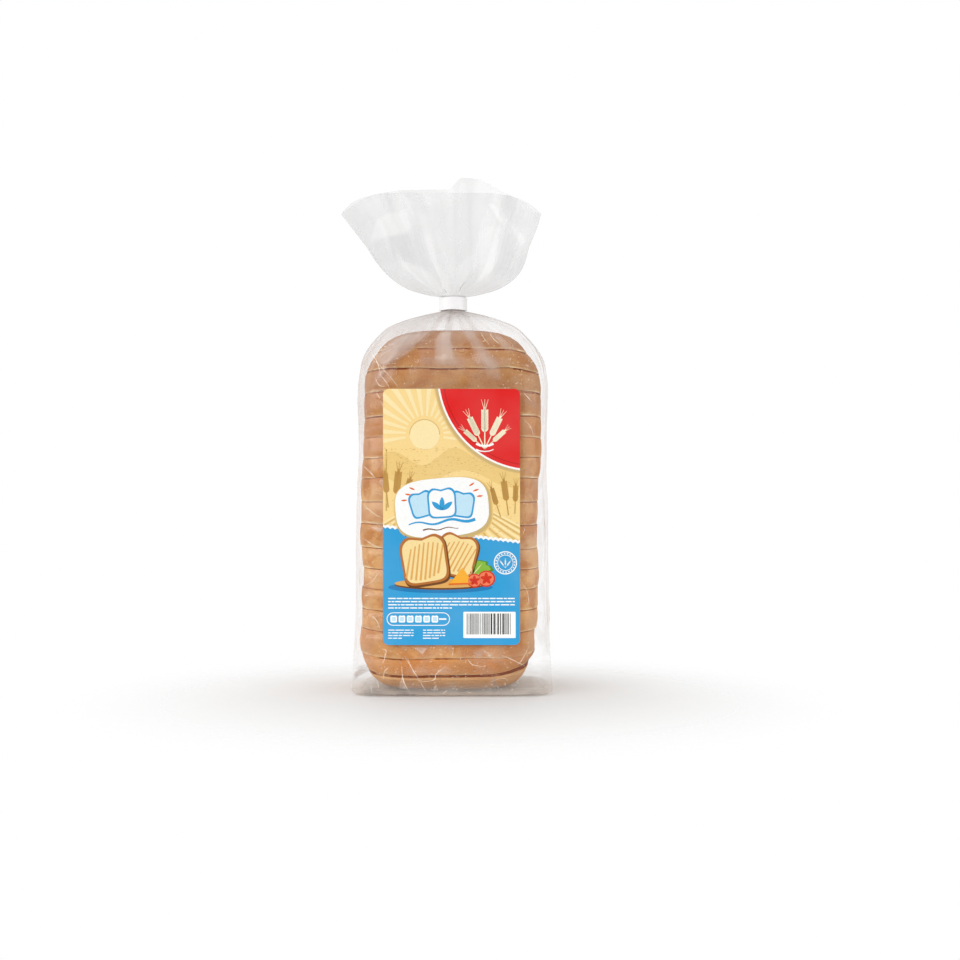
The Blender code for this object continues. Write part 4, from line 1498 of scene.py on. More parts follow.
def film_smoothness(foot, body, upper_count, gaps):
    """1 where the film stands free and smooth, from the shoulder up, and 0 where it lies on bread."""
    values = [np.zeros(FILM_COLUMNS) for _ in foot]
    for row, gap in zip(body, gaps):
        height = float(np.mean(row[:, 2]))
        free = float(smoothstep(*FREE_HEIGHTS, height))
        value = np.maximum(free, FREE_GAP_SHARE * smoothstep(*FREE_GAPS, gap))
        values.append(np.maximum(value, side_foot(row[:, 1] - AXIS.y, height)))
    values += [np.ones(FILM_COLUMNS) for _ in range(upper_count)]
    return np.concatenate(values)


def film_painted_shading(rows, ruff_start):
    """The painted light and shade of the free film, from 0 to 1: half everywhere but in the ruff's facets."""
    values = []
    for level, row in enumerate(rows):
        value = np.full(FILM_COLUMNS, USUAL_PAINTED_SHADING)
        if level >= ruff_start:
            x = (row[:, 0] - AXIS.x) / MM
            z = row[:, 2] / MM
            in_front = row[:, 1] < AXIS.y
            for softness, painted_light_share, corners in RUFF_SHADED_FACETS:
                # Facets painted lighter or darker, as painted light and shade
                value = value + 0.5 * painted_light_share * inside_patch(x, z, corners, softness) * in_front
        values.append(value)
    return np.clip(np.concatenate(values), 0.0, 1.0)


def film_material():
    """Clear film: mirror-like at a slant, faintly milky, with painted beige-grey shade by the floor."""
    material, tree = new_material("clear_film")
    place = object_place(tree)
    fine = noise_node(tree, stretched(tree, FILM_CRINKLES), 1.0, detail=3.0, roughness=0.5)
    smooth = attribute_node(tree, "smooth")
    cloud = ramp(tree, noise_node(tree, place, 40.0, detail=1.0), *FILM_CLOUD_RAMP)
    slant = add(tree, "ShaderNodeLayerWeight", {"Blend": 0.5}).outputs["Facing"]
    clinging = ramp(tree, smooth, *FILM_CLINGING_RAMP)
    milky = times(tree, attribute_node(tree, "haze"), cloud)
    thick = times(tree, math_node(tree, "POWER", slant, 3.0), times(tree, clinging, FILM_SLANT_HAZE))
    milky = math_node(tree, "ADD", milky, thick, clamp=True)
    crinkled = times(tree, fine, math_node(tree, "SUBTRACT", 1.0, smooth))
    bump = bump_node(tree, crinkled, 0.18, 0.4 * MM)
    height = add(tree, "ShaderNodeSeparateXYZ", {"Vector": place}).outputs["Z"]
    # Free film coloured from painted shade to painted light by the light attribute
    free = mix_color_node(tree, attribute_node(tree, "light"), FILM_FREE_SHADED, FILM_FREE_LIT)
    # Film lying on the bread is tinted warm as a painted reflection of the bread
    color = mix_color_node(tree, smooth, FILM_HAZE_REFLECTING_BREAD, free)
    # Painted beige-grey shade on the film low down by the floor
    color = mix_color_node(tree, ramp(tree, height, *FILM_FOOT_SHADE_RAMP), color, FILM_SHADE_BY_FLOOR)
    body = principled(tree, color, 0.35, 0.2, Normal=bump)
    through = add(tree, "ShaderNodeBsdfTranslucent", {"Color": color}).outputs[0]
    clear = add(tree, "ShaderNodeBsdfTransparent").outputs[0]
    sheet = mix_shaders(tree, milky, clear, mix_shaders(tree, FILM_THROUGH, body, through))
    spread = ramp(tree, smooth, *FILM_SHINE_RAMP)
    gloss = {"Color": WHITE, "Roughness": spread, "Normal": bump}
    shine = add(tree, "ShaderNodeBsdfGlossy", gloss).outputs[0]
    grazing = times(tree, math_node(tree, "POWER", slant, 5.0), clinging)
    grazing = times(tree, grazing, ramp(tree, height, *FILM_GRAZING_HEIGHTS))
    mirror = math_node(tree, "ADD", times(tree, grazing, FILM_GRAZING_MIRROR), FILM_MIRROR)
    finish_surface(tree, mix_shaders(tree, mirror, sheet, shine))
    return material


def make_film(slices):
    """The bag's film from under the loaf up to the ruff's rim, as one sheet."""
    wall = np.linspace(FILM_WALL_START, FILM_BODY_TOP, FILM_BODY_LEVELS)
    bread = bread_tree(slices)
    heights = np.concatenate([FILM_HEM_HEIGHTS, wall])
    pushed = [push_off(body_row(height), bread, FILM_CLEARANCE) for height in heights]
    body = [row for row, _ in pushed]
    gaps = [gap for _, gap in pushed]
    foot = []
    for ring in range(FILM_FOOT_RINGS):
        shrink = (ring + 0.3) / FILM_FOOT_RINGS
        row = body[0].copy()
        row[:, 0] = AXIS.x + (row[:, 0] - AXIS.x) * shrink
        row[:, 1] = AXIS.y + (row[:, 1] - AXIS.y) * shrink
        row[:, 2] = FILM_FOOT_HEIGHT
        foot.append(row)
    neck = [neck_row(height) for height in np.linspace(NECK_BOTTOM, NECK_TOP, FILM_NECK_LEVELS)]
    ruff = [ruff_row((k + 1) / FILM_RUFF_LEVELS) for k in range(FILM_RUFF_LEVELS)]
    rows = foot + body + neck + ruff
    film = grid_object("film", rows, closed_start=True)
    # The haze attribute holds milkiness, with painted reflections along folds and patches
    write_attribute(film, "haze", film_haze(foot, body, neck, gaps))
    write_attribute(film, "smooth", film_smoothness(foot, body, len(neck) + len(ruff), gaps))
    # The light attribute holds the ruff facets' painted light and shade
    write_attribute(film, "light", film_painted_shading(rows, len(foot) + len(body)))
    film.data.materials.append(film_material())
    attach(film, "root")
    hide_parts("bag")
    upper = body + neck + ruff
    return np.array([row[3 * FILM_COLUMNS // 4, 2] for row in upper]), upper


# Creases in the film, with painted glints, and painted shadows on the hem and in folds

def film_point(heights, rows, side, across, height):
    """The film's surface on one side of the loaf, at a place across it and a height."""
    level = int(np.clip(np.searchsorted(heights, height), 1, len(rows) - 1))
    share = (height - heights[level - 1]) / (heights[level] - heights[level - 1])
    row = rows[level - 1] * (1 - share) + rows[level] * share
    away = row - np.array([AXIS.x, AXIS.y, 0])
    if side in ("front", "back"):
        mine = away[:, 1] < 0 if side == "front" else away[:, 1] > 0
        place = away[:, 0]
    else:
        mine = away[:, 0] < 0 if side == "left" else away[:, 0] > 0
        place = away[:, 1]
    order = np.argsort(place[mine])
    sorted_row = row[mine][order]
    sorted_place = place[mine][order]
    return Vector([float(np.interp(across, sorted_place, sorted_row[:, k])) for k in range(3)])


OUTWARD = {
    "front": Vector((0, -1, 0)),
    "back": Vector((0, 1, 0)),
    "left": Vector((-1, 0, 0)),
    "right": Vector((1, 0, 0)),
}


def add_crease(mesh, points, outward, width, height):
    """A low ridge through points on the film, thinning out towards both ends."""
    rings = []
    for k, point in enumerate(points):
        before = points[max(k - 1, 0)]
        after = points[min(k + 1, len(points) - 1)]
        along_it = (after - before).normalized()
        sideways = along_it.cross(outward).normalized()
        thinning = math.sin(math.pi * (k + 0.15) / (len(points) - 0.7)) ** 0.6
        half = sideways * width / 2 * thinning
        lift = outward * height * thinning
        base = point + outward * CREASE_LIFT
        rings.append([mesh.verts.new(base + offset) for offset in (-half, lift, half)])
    for low, high in zip(rings, rings[1:]):
        for k in (0, 1):
            mesh.faces.new((low[k], low[k + 1], high[k + 1], high[k]))


def crease_material(name, color, least, most):
    """Thin marks laid on the film that hide part of what is under it along their length: sharply bent creases
    and wedges whitened as painted glints, brown folds, and painted shadows.
    """
    material, tree = new_material(name)
    broken = ramp(tree, noise_node(tree, object_place(tree), 300.0, detail=2.0), 0.38, 0.58, least, most)
    finish_surface(tree, principled(tree, color, 0.35, 0.3, Alpha=broken))
    return material


def smooth_path(corners, heights, rows, side):
    """Points on the film along a soft curve through listed corners."""
    count = (len(corners) - 1) * CREASE_POINTS
    knots = np.linspace(0, 1, len(corners))
    points = []
    for share in np.linspace(0, 1, count):
        u, z = along([(knot, *corner) for knot, corner in zip(knots, corners)], share)
        points.append(film_point(heights, rows, side, u * MM, z * MM))
    return points


def fan_path(rng, heights, rows, fan, k):
    """Points of crease number k of a fan."""
    side, across, height, reach, (first, last), count = fan
    turn = math.radians(first + (last - first) * (k + rng.uniform(*FAN_SPACING)) / count)
    start = rng.uniform(*FAN_START) * reach
    end = reach * rng.uniform(*FAN_END)
    bend = rng.uniform(-FAN_BEND, FAN_BEND)
    points = []
    for share in np.linspace(0, 1, CREASE_POINTS):
        distance = start + (end - start) * share
        turned_by = turn + bend * (2 * share - 1)
        u = np.clip(across + distance * math.cos(turned_by), -FAN_EDGE, FAN_EDGE)
        z = np.clip(height + distance * math.sin(turned_by), *FAN_HEIGHTS)
        points.append(film_point(heights, rows, side, u * MM, z * MM))
    return points


def speck_path(rng, heights, rows, side):
    """Points of one short crease, a speck of painted glint, most often near the side's edges and low down or
    high up.
    """
    across = rng.choice((-1, 1)) * (SPECK_EDGE - abs(rng.gauss(0, SPECK_SPREAD)))
    height = rng.choice([rng.uniform(*heights) for heights in SPECK_HEIGHTS])
    if height < SPECK_LOW or height > SPECK_TOP:
        across = rng.uniform(-SPECK_REACH, SPECK_REACH)
    elif height > SPECK_UPPER:
        across = rng.choice([rng.uniform(*places) for places in SPECK_UPPER_PLACES])
    turn = rng.uniform(0, math.pi)
    half = rng.uniform(*SPECK_HALF_LENGTH)
    points = []
    for share in (-1, 0, 1):
        u = across + share * half * math.cos(turn)
        z = height + share * half * math.sin(turn)
        points.append(film_point(heights, rows, side, u * MM, z * MM))
    return points


def crease_object(name, mesh):
    data = bpy.data.meshes.new(name)
    mesh.to_mesh(data)
    mesh.free()
    data.shade_smooth()
    piece = bpy.data.objects.new(name, data)
    bpy.context.scene.collection.objects.link(piece)
    data.materials.append(crease_material(*CREASE_LOOKS[name]))
    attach(piece, "root")


def make_thin_creases(heights, rows):
    """The listed creases in front, the fans on the other sides, and short specks all round, each a ridge
    whitened as a painted glint.
    """
    rng = random.Random(SEED)
    mesh = bmesh.new()
    for corners in FRONT_CREASES:
        points = smooth_path(corners, heights, rows, "front")
        width = CREASE_WIDTH * rng.uniform(*CREASE_WIDTH_CHANGE)
        add_crease(mesh, points, OUTWARD["front"], width, CREASE_HEIGHT)
    for fan in CREASE_FANS:
        for k in range(fan[-1]):
            points = fan_path(rng, heights, rows, fan, k)
            width = FAN_WIDTH * rng.uniform(*CREASE_WIDTH_CHANGE)
            add_crease(mesh, points, OUTWARD[fan[0]], width, CREASE_HEIGHT)
    for _ in range(SPECKS):
        side = rng.choice(SPECK_SIDES)
        points = speck_path(rng, heights, rows, side)
        add_crease(mesh, points, OUTWARD[side], SPECK_WIDTH_SHARE * CREASE_WIDTH, CREASE_HEIGHT)
    crease_object("film_crease_glints", mesh)


def make_glint_wedges(heights, rows):
    """Small milky triangles on the front's film, whitened partly as a painted glint."""
    mesh = bmesh.new()
    for corners in FRONT_GLINT_WEDGES:
        points = [film_point(heights, rows, "front", u * MM, z * MM) for u, z in corners]
        mesh.faces.new([mesh.verts.new(point + OUTWARD["front"] * WEDGE_LIFT) for point in points])
    crease_object("film_glint_wedges", mesh)


def make_hem_shadows(heights, rows):
    """Painted shadow on the hem: soft dark patches, as layers of half discs that get smaller."""
    mesh = bmesh.new()
    for across, half_width, tall, layers in HEM_SHADOWS:
        for layer in range(layers):
            size = 1 - layer / (layers + 1)
            points = []
            for step in range(HEM_SHADE_STEPS + 1):
                turn = math.pi * step / HEM_SHADE_STEPS
                u = across + half_width * size * math.cos(turn)
                z = HEM_SHADE_FOOT + tall * size * math.sin(turn)
                points.append(film_point(heights, rows, "front", u * MM, z * MM))
            lift = OUTWARD["front"] * (CREASE_LIFT + HEM_SHADE_LAYER * layer)
            mesh.faces.new([mesh.verts.new(point + lift) for point in points])
    crease_object("film_hem_shadows", mesh)


def make_front_lines(name, lines, heights, rows):
    """One piece of lines that are all equally wide, along the front's film."""
    mesh = bmesh.new()
    for corners in lines:
        points = smooth_path(corners, heights, rows, "front")
        add_crease(mesh, points, OUTWARD["front"], PINCH_WIDTH, CREASE_HEIGHT)
    crease_object(name, mesh)


def make_creases(heights, rows):
    """All that is laid on the film: creases and wedges whitened as painted glints, brown folds, painted hem
    shadows, and painted shadows in the folds at the neck and hem.
    """
    make_thin_creases(heights, rows)
    make_glint_wedges(heights, rows)
    make_front_lines("film_brown_folds", BROWN_FOLDS, heights, rows)
    make_hem_shadows(heights, rows)
    # Painted shadows in the pinched folds at the neck and along the hem
    make_front_lines("film_fold_shadows", NECK_FOLD_SHADOWS + HEM_SHADOW_LINES, heights, rows)


# The label: shapes for its print, in mm from the label's middle, u to the right and v up

def turned(points, u, v, degrees=0.0, scale=1.0):
    c = math.cos(math.radians(degrees)) * scale
    s = math.sin(math.radians(degrees)) * scale
    return [(u + c * a - s * b, v + s * a + c * b) for a, b in points]


def disc(u, v, half_width, half_height=None, degrees=0.0, squareness=2.0, steps=40):
    half_height = half_height or half_width
    points = []
    for k in range(steps):
        x, y, _, _ = superellipse(2 * math.pi * k / steps, half_width, half_height, squareness)
        points.append((float(x), float(y)))
    return turned(points, u, v, degrees)


def arc_band(u, v, radius, width, first, last, steps=24):
    """A band along an arc, from one direction to another in degrees."""
    turns = [math.radians(first + (last - first) * k / steps) for k in range(steps + 1)]
    edges = []
    for reach in (radius + width / 2, radius - width / 2):
        edges.append([(u + reach * math.cos(turn), v + reach * math.sin(turn)) for turn in turns])
    return edges[0] + edges[1][::-1]


def box(u, v, width, height, radius=0.0):
    """A rectangle about its middle, with round corners where a radius is given."""
    points = []
    for quarter, (side, level) in enumerate(((1, 1), (-1, 1), (-1, -1), (1, -1))):
        middle = (u + side * (width / 2 - radius), v + level * (height / 2 - radius))
        if not radius:
            points.append(middle)
            continue
        for step in range(BOX_CORNER_STEPS + 1):
            angle = math.radians(90) * (quarter + step / BOX_CORNER_STEPS)
            points.append((middle[0] + radius * math.cos(angle), middle[1] + radius * math.sin(angle)))
    return points


def stroke(points, width, end_width=None):
    """A line of ink along points that thins towards its end, with blunt ends."""
    end_width = width if end_width is None else end_width
    left = []
    right = []
    for k, (u, v) in enumerate(points):
        before = points[max(k - 1, 0)]
        after = points[min(k + 1, len(points) - 1)]
        du = after[0] - before[0]
        dv = after[1] - before[1]
        length = math.hypot(du, dv)
        half = (width + (end_width - width) * k / (len(points) - 1)) / 2
        left.append((u - dv / length * half, v + du / length * half))
        right.append((u + dv / length * half, v - du / length * half))
    return left + right[::-1]


def leaf(u, v, length, width, degrees):
    """A pointed oval that starts at a point and runs in one direction."""
    shares = [k / LEAF_STEPS for k in range(LEAF_STEPS + 1)]
    upper = [(length * share, width / 2 * math.sin(math.pi * share) ** 0.8) for share in shares]
    lower = [(along_it, -out) for along_it, out in upper[-2:0:-1]]
    return turned(upper + lower, u, v, degrees)


def toast_outline(u, v, size, degrees=0.0, aspect=1.0):
    """A slice of sandwich bread seen flat: straight sides, round corners, two low humps on top."""
    points = []
    for k in range(TOAST_STEPS):
        angle = 2 * math.pi * k / TOAST_STEPS
        x, y, _, _ = superellipse(angle, 0.5, 0.5, 5.0)
        hump = 0.07 * math.exp(-(((abs(float(x)) - 0.28) / 0.16) ** 2)) * (1 if y > 0.3 else 0)
        wider = 1.0 + 0.07 * max(0.0, float(y))
        points.append((float(x) * wider * aspect, float(y) + hump))
    return turned(points, u, v, degrees, size)


class Print:
    """The label's print: flat fields of ink, each on a level of its own above the sheet."""

    def __init__(self):
        self.fields = []

    def fill(self, outline, ink, level):
        self.fields.append((outline, ink, level))

    def wheat_ear(self, u, v, length, degrees, ink, level, grains=7):
        """A stem with pairs of grains, one grain on top and thin beards."""
        tip = turned([(length, 0)], u, v, degrees)[0]
        self.fill(stroke([(u, v), tip], 0.035 * length, 0.02 * length), ink, level)
        size = 0.17 * length
        for k in range(grains):
            share = 0.42 + 0.5 * k / grains
            root_u, root_v = turned([(length * share, 0)], u, v, degrees)[0]
            for side in (-1, 1):
                self.fill(leaf(root_u, root_v, size, 0.45 * size, degrees + 30 * side), ink, level)
        root_u, root_v = turned([(length * 0.9, 0)], u, v, degrees)[0]
        self.fill(leaf(root_u, root_v, size, 0.45 * size, degrees), ink, level)
        for side in (-1, 0, 1):
            start = turned([(length * 0.95, 0)], u, v, degrees)[0]
            end = turned([(length * 1.25, 0.09 * length * side)], u, v, degrees)[0]
            self.fill(stroke([start, end], 0.02 * length, 0.008 * length), ink, level)

    def bars(self, u, v, width, rows, pitch, thickness, ink, level, rng):
        """Rows of short bars, such as stand for small print."""
        for row in range(rows):
            start = u
            right = u + width * (1.0 if row < rows - 1 else rng.uniform(0.5, 0.8))
            while start < right - 0.8:
                length = min(rng.uniform(1.2, 5.5), right - start)
                self.fill(box(start + length / 2, v - row * pitch, length, thickness), ink, level)
                start += length + 0.55

    def toast(self, u, v, size, degrees, level, stripes):
        """A toasted slice: crust, crumb, and the dark stripes of a grill."""
        self.fill(toast_outline(u + 0.02 * size, v - 0.03 * size, size * 1.03, degrees), "brown", level)
        self.fill(toast_outline(u, v, size, degrees), "crust", level + 1)
        self.fill(toast_outline(u, v, size * 0.9, degrees), "crumb", level + 2)
        for k in range(stripes):
            place = (k + 0.5) / stripes - 0.5
            reach = 0.40 - 0.5 * abs(place) ** 2
            ends = [(place * 0.8 - 0.1, -reach), (place * 0.8 + 0.1, reach)]
            line = turned(ends, u, v, degrees, size)
            self.fill(stroke(line, 0.045 * size, 0.03 * size), "toast", level + 3)

    def build(self, low, high):
        """One mesh of all fields, cut to the label's outline and bent as the label is."""
        middle = Vector(((low.x + high.x) / 2, low.y, (low.z + high.z) / 2))
        half_width = (high.x - low.x) / 2
        half_height = (high.z - low.z) / 2
        mesh = bmesh.new()
        names = list(INKS)
        for outline, ink, level in self.fields:
            verts = [mesh.verts.new((u * MM, -level * PRINT_LAYER, v * MM)) for u, v in outline]
            face = mesh.faces.new(verts)
            face.material_index = names.index(ink)
            face.normal_update()
            if face.normal.y > 0:
                face.normal_flip()
        bmesh.ops.triangulate(mesh, faces=mesh.faces[:], ngon_method="EAR_CLIP")
        cuts = [(Vector((side * half_width, 0, 0)), Vector((side, 0, 0)), True) for side in (-1, 1)]
        cuts += [(Vector((0, 0, side * half_height)), Vector((0, 0, side)), True) for side in (-1, 1)]
        for side in (-1, 1):
            for level in (-1, 1):
                corner = Vector((
                    side * (half_width - LABEL_CORNER), 0, level * (half_height - LABEL_CORNER),
                ))
                for step in range(1, LABEL_CORNER_STEPS):
                    angle = math.radians(90) * step / LABEL_CORNER_STEPS
                    out = Vector((side * math.cos(angle), 0, level * math.sin(angle)))
                    cuts.append((corner + out * LABEL_CORNER, out, True))
        columns = int(2 * half_width / PRINT_COLUMN)
        for k in range(1, columns):
            place = Vector(((2 * k / columns - 1) * half_width, 0, 0))
            cuts.append((place, Vector((1, 0, 0)), False))
        for place, out, clear in cuts:
            geometry = mesh.verts[:] + mesh.edges[:] + mesh.faces[:]
            bmesh.ops.bisect_plane(mesh, geom=geometry, plane_co=place, plane_no=out, clear_outer=clear)
        for vert in mesh.verts:
            vert.co.y += LABEL_BEND * (vert.co.x / half_width) ** LABEL_BEND_POWER
            vert.co += middle
        data = bpy.data.meshes.new("label_print")
        mesh.to_mesh(data)
        mesh.free()
        ink = data.attributes.new("ink", "FLOAT_COLOR", "CORNER")
        colors = [[linear(c / 255) for c in INKS[name]] + [1.0] for name in names]
        for face in data.polygons:
            for corner in face.loop_indices:
                ink.data[corner].color = colors[face.material_index]
            face.material_index = 0
        label_print = bpy.data.objects.new("label_print", data)
        bpy.context.scene.collection.objects.link(label_print)
        return label_print


def linear(value):
    """A linear colour value from an sRGB one."""
    return value / 12.92 if value <= 0.04045 else ((value + 0.055) / 1.055) ** 2.4


def draw_field(art, rng):
    """The gold ground: sky with a low sun, two hills, furrows and ears of wheat."""
    art.fill(box(0, 30, 90, 112), "gold", 0)
    for k in range(16):
        angle = math.radians(-8 + 196 * k / 15)
        start = (SUN[0] + 12 * math.cos(angle), SUN[1] + 12 * math.sin(angle))
        end = (SUN[0] + 60 * math.cos(angle + 0.02), SUN[1] + 60 * math.sin(angle + 0.02))
        art.fill(stroke([start, end], 1.2, 6.0), "pale gold", 1)
    art.fill(disc(*SUN, SUN_RADIUS), "pale gold", 2)
    art.fill(arc_band(*SUN, SUN_RADIUS, 0.5, 0, 180), "ochre", 3)
    foot = [(45, -30), (-45, -30)]
    hill = [(-45 + 3 * k, 36 + 5 * math.sin(0.16 * k * 3 + 0.4) + 0.06 * 3 * k) for k in range(31)]
    near_hill = [(-45 + 3 * k, 24 + 5.5 * math.sin(0.1 * k * 3 + 2.6)) for k in range(31)]
    art.fill(hill + foot, "straw", 4)
    art.fill(near_hill + foot, "gold", 5)
    for k in range(31):
        end = -75 + 5.0 * k
        line = [(-4 + (end + 4) * s**1.3, 25 - 46 * s) for s in (0.12, 0.3, 0.5, 0.75, 1.0)]
        art.fill(stroke(line, 0.25, 1.5), "ochre" if k % 2 else "pale gold", 6)
    for count, lowest, highest, longest, thickness in FIELD_MARKS:
        for _ in range(count):
            u = rng.uniform(-43, 43)
            v = rng.uniform(lowest, highest)
            mark = box(u, v, rng.uniform(0.3, longest), thickness)
            art.fill(mark, "wheat" if rng.random() < 0.4 else "ochre", 7)
    for ear in FIELD_EARS:
        art.wheat_ear(*ear, "wheat", 8)


def draw_red_corner(art):
    """A red quarter disc in one upper corner with a sheaf of five ears."""
    u, v = RED_MIDDLE
    for grow, ink, level in ((1.9, "straw", 8), (1.3, "ochre", 9), (0.8, "shade", 10)):
        art.fill(disc(u - 0.3, v - 0.6, RED_RADIUS + 1.3 + grow, steps=96), ink, level)
    art.fill(disc(u, v, RED_RADIUS + 1.2, steps=96), "white", 11)
    art.fill(disc(u, v, RED_RADIUS, steps=96), "red", 12)
    art.fill(arc_band(u, v, RED_RADIUS - 2.6, 0.5, 150, 300, 60), "dark red", 13)
    for degrees, length in ((90, 25), (64, 22), (116, 22), (42, 17), (138, 17)):
        art.wheat_ear(21, 43, length, degrees, "cream", 14)
    art.fill(stroke([(15.5, 46.2), (18, 45.1), (21, 44.8), (24, 45.1), (26.5, 46.2)], 1.3), "white", 15)
    art.fill(stroke([(15.5, 42.6), (18, 41.6), (21, 41.3), (24, 41.6), (26.5, 42.6)], 0.9, 0.5), "white", 14)


def draw_plaque(art):
    """A white oval with three blue slices, and orange and brown strokes round them."""
    u, v = PLAQUE
    wide, high = PLAQUE_HALF_SIZE
    for grow, ink, level in ((1.7, "straw", 9), (1.1, "ochre", 10), (0.5, "shade", 11)):
        art.fill(disc(u + 0.9, v - 1.2, wide + grow, high + grow, PLAQUE_TURN, 3.2, 64), ink, level)
    art.fill(disc(u, v, wide, high, PLAQUE_TURN, 3.2, 64), "white", 12)
    for k, degrees in ((-1, 16), (1, -8), (0, 4)):
        centre = (u + 12.5 * k, v + 2.2 - 0.8 * abs(k))
        size = 15.5 if k else 18
        level = 13 if k else 16
        art.fill(toast_outline(*centre, size, degrees), "blue", level)
        art.fill(toast_outline(*centre, size - 2.2, degrees), "pale blue" if k else "white", level + 1)
    for degrees in (40, 90, 140):
        art.fill(leaf(u, v + 2.2 - 4, 8.5, 3.2, degrees), "blue", 18)
    wave = [(u - 21 + 2.1 * k, v - 11 + 1.1 * math.sin(0.62 * k) + 0.19 * k) for k in range(21)]
    art.fill(stroke(wave, 0.8, 2.0), "blue", 13)
    under = [(u - 12 + 1.6 * k, v - 14.5 + 0.6 * math.sin(0.8 * k) + 0.14 * k) for k in range(15)]
    art.fill(stroke(under, 0.9, 0.4), "brown", 13)
    for side in (-1, 1):
        for k in range(3):
            degrees = 90 + side * (-62 - 14 * k) + PLAQUE_TURN
            centre = (u + side * (17 + 2.4 * k), v + 12.2 - 3.2 * k + side * 1.2)
            art.fill(leaf(*centre, 4.2, 1.1, degrees), "orange", 13)


def draw_blue_field(art, rng):
    """The blue lower field with a white scalloped edge that falls to the right."""
    foot = [(45, -85), (-45, -85)]
    steps = 29 * 4
    edge = []
    for k in range(steps + 1):
        u = -45 + 90 * k / steps
        edge.append((u, -10.5 - 0.115 * u + 1.0 * abs(math.sin(math.pi * k / 4))))
    art.fill(edge + foot, "white", 9)
    art.fill([(u, v - 1.7) for u, v in edge] + foot, "blue", 10)
    art.bars(-40, -51.5, 80, 4, 2.0, 0.75, "white", 11, rng)


def draw_food(art):
    """Toasted slices with leaf, tomato and cheese on a dark board."""
    art.fill(disc(-7, -44.5, 33, 3.6), "deep blue", 11)
    art.fill(disc(-7, -42.8, 29, 3.2), "brown", 12)
    art.fill(disc(-7, -42.0, 29, 2.9), "toast", 13)
    ruffle = []
    for k in range(60):
        angle = 2 * math.pi * k / 60
        reach = 1 + 0.06 * math.sin(9 * angle) + 0.04 * math.sin(17 * angle + 1)
        ruffle.append((13 + 13 * reach * math.cos(angle), -34 + 7.5 * reach * math.sin(angle)))
    art.fill(ruffle, "dark leaf", 13)
    art.fill([(13 + (u - 13) * 0.86, -33.4 + (v + 34) * 0.84) for u, v in ruffle], "leaf", 14)
    for degrees in (10, 50, 95, 140, 175):
        art.fill(leaf(13, -37, 10, 0.5, degrees), "pale gold", 15)
    art.toast(3, -25, 25, -14, 14, 7)
    art.toast(-17, -28, 29, 9, 18, 8)
    art.fill([(-2, -43), (14, -42.4), (7, -32)], "cheese", 21)
    art.fill([(-2, -43), (14, -42.4), (14.4, -41.4), (-1.4, -42)], "orange", 22)
    for u, v, size in ((22, -39, 5.6), (14.5, -40.2, 4.8)):
        art.fill(disc(u, v, size, 0.92 * size), "tomato", 20)
        art.fill(disc(u, v, 0.84 * size, 0.77 * size), "light tomato", 21)
        for k in range(5):
            art.fill(leaf(u, v, 0.7 * size, 0.4 * size, 72 * k + 20), "tomato", 22)


def draw_marks(art, rng):
    """A ring badge, a frame of small slices, bar columns and bars in a white box."""
    for first in (0, 180):
        art.fill(arc_band(*BADGE, 7.0, 0.7, first, first + 180), "white", 11)
        art.fill(arc_band(*BADGE, 4.9, 0.4, first, first + 180), "white", 11)
    for first in range(0, 360, 18):
        art.fill(arc_band(*BADGE, 5.9, 0.7, first, first + 9, 3), "white", 12)
    for degrees in (55, 90, 125):
        art.wheat_ear(BADGE[0], BADGE[1] - 3.4, 5.2, degrees, "white", 12, 4)
    art.fill(box(-21, -64.5, 40, 8.4, 4.1), "white", 11)
    art.fill(box(-21, -64.5, 39, 7.4, 3.6), "blue", 12)
    for k in range(6):
        art.fill(toast_outline(-36.5 + 5.2 * k, -64.6, 4.2), "white", 13)
        art.fill(toast_outline(-36.5 + 5.2 * k, -64.6, 2.6), "pale blue", 14)
    art.fill(box(-5.6, -64.5, 4.6, 1.0), "white", 13)
    art.bars(-40, -71.5, 16, 4, 1.7, 0.6, "white", 11, rng)
    art.bars(-18, -71.5, 14, 4, 1.7, 0.6, "white", 11, rng)
    art.fill(box(24, -68.2, 33, 16.6, 0.6), "white", 12)
    start = 9.6
    while start < 38.0:
        width = rng.choice((0.35, 0.35, 0.6, 0.95))
        art.fill(box(start + width / 2, -67.6, width, 13.2), "black", 13)
        start += width + rng.choice((0.35, 0.5, 0.8))
    for k in range(26):
        length = rng.uniform(0.5, 1.3)
        art.fill(box(-41.2, 42 - 1.5 * k, 0.7, length), "wheat", 9)


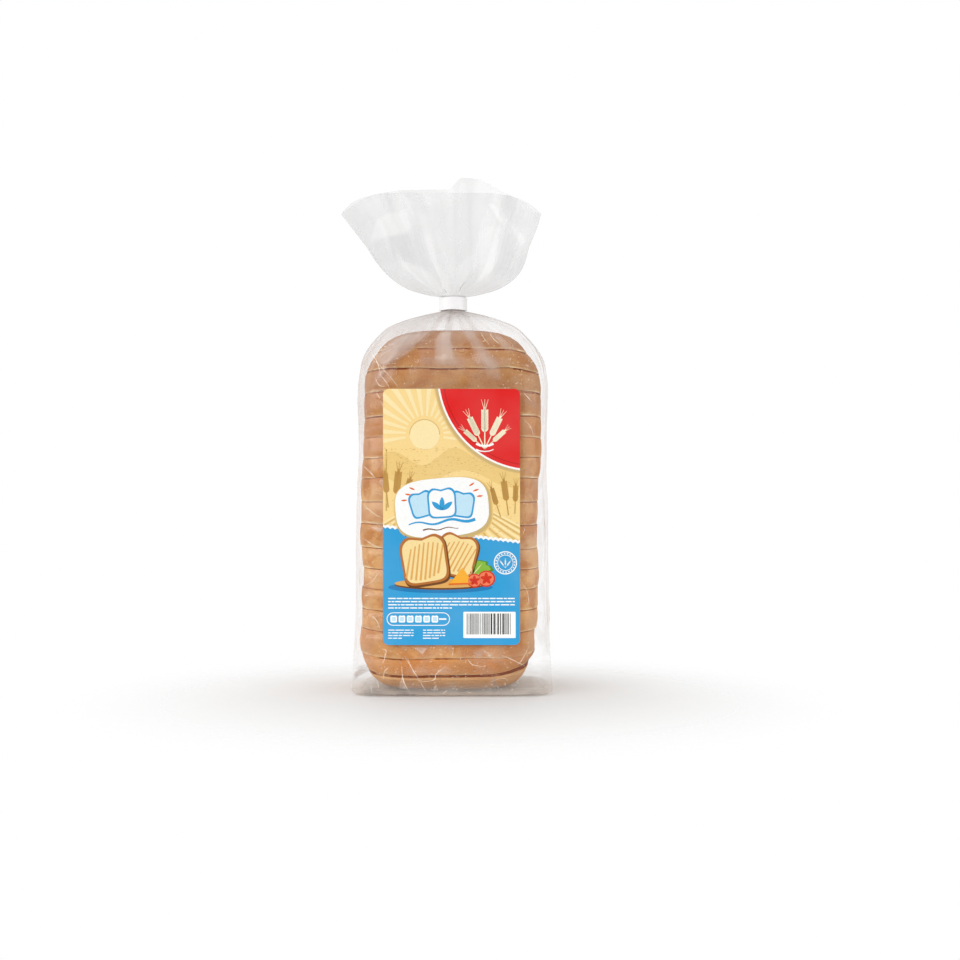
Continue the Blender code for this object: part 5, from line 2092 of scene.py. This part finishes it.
def print_material():
    """Ink on smooth film: colours from the mesh, faintly uneven, with a satin finish."""
    material, tree = new_material("label_print")
    place = object_place(tree)
    ink = add(tree, "ShaderNodeAttribute", attribute_name="ink").outputs["Color"]
    screen = ramp(tree, noise_node(tree, place, 1500.0, detail=2.0), *INK_SPECK_RAMP)
    cloud = ramp(tree, noise_node(tree, place, 30.0, detail=2.0), *INK_CLOUD_RAMP)
    color = mix_color_node(tree, cloud, mix_color_node(tree, screen, ink, INK_SPECK), WHITE)
    bump = bump_node(tree, noise_node(tree, place, 55.0, detail=2.0), 0.12, 0.5 * MM)
    finish_surface(tree, principled(tree, color, 0.5, 0.12, Normal=bump))
    return material


def sheet_material():
    """White sticker paper with a faint fibre."""
    material, tree = new_material("label_sheet")
    fibre = noise_node(tree, object_place(tree), 700.0, detail=3.0)
    color = mix_color_node(tree, fibre, *SHEET_SHADES)
    finish_surface(tree, principled(tree, color, 0.5, 0.5))
    return material


def make_label_sheet(low, high):
    """The sticker itself: a thin white sheet with round corners under the print."""
    plate = Print()
    width = (high.x - low.x) / MM
    height = (high.z - low.z) / MM
    plate.fill(box(0, 0, width + 1, height + 1), "white", 0)
    sheet = plate.build(low, high)
    sheet.name = "label_sheet"
    sheet.data.name = "label_sheet"
    thicken = sheet.modifiers.new("thickness", "SOLIDIFY")
    thicken.thickness = LABEL_SHEET
    thicken.offset = -1.0
    sheet.location.y = SHEET_SINK
    sheet.data.materials.append(sheet_material())
    return sheet


def make_label():
    low, high = (Vector(corner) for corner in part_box("label"))
    rng = random.Random(SEED + 5)
    art = Print()
    draw_field(art, rng)
    draw_red_corner(art)
    draw_plaque(art)
    draw_blue_field(art, rng)
    draw_food(art)
    draw_marks(art, rng)
    label_print = art.build(low, high)
    label_print.data.materials.append(print_material())
    for piece in (make_label_sheet(low, high), label_print):
        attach(piece, "root")
        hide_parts("label")


# The neck tape

def tape_material():
    """Satin white tape with a faint weave of stretch marks."""
    material, tree = new_material("tie_tape")
    streak = noise_node(tree, stretched(tree, TAPE_STREAKS), 1.0, detail=3.0)
    cloud = noise_node(tree, object_place(tree), 160.0, detail=2.0)
    color = mix_color_node(tree, cloud, *TAPE_SHADES)
    bump = bump_node(tree, streak, 0.2, 0.2 * MM)
    finish_surface(tree, principled(tree, color, 0.38, 0.5, Normal=bump))
    return material


def dress_tie():
    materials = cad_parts["neck_tie"].data.materials
    materials.clear()
    materials.append(tape_material())


set_up_studio()
loaf = make_loaf()
film_heights, film_rows = make_film(loaf)
make_creases(film_heights, film_rows)
make_label()
dress_tie()
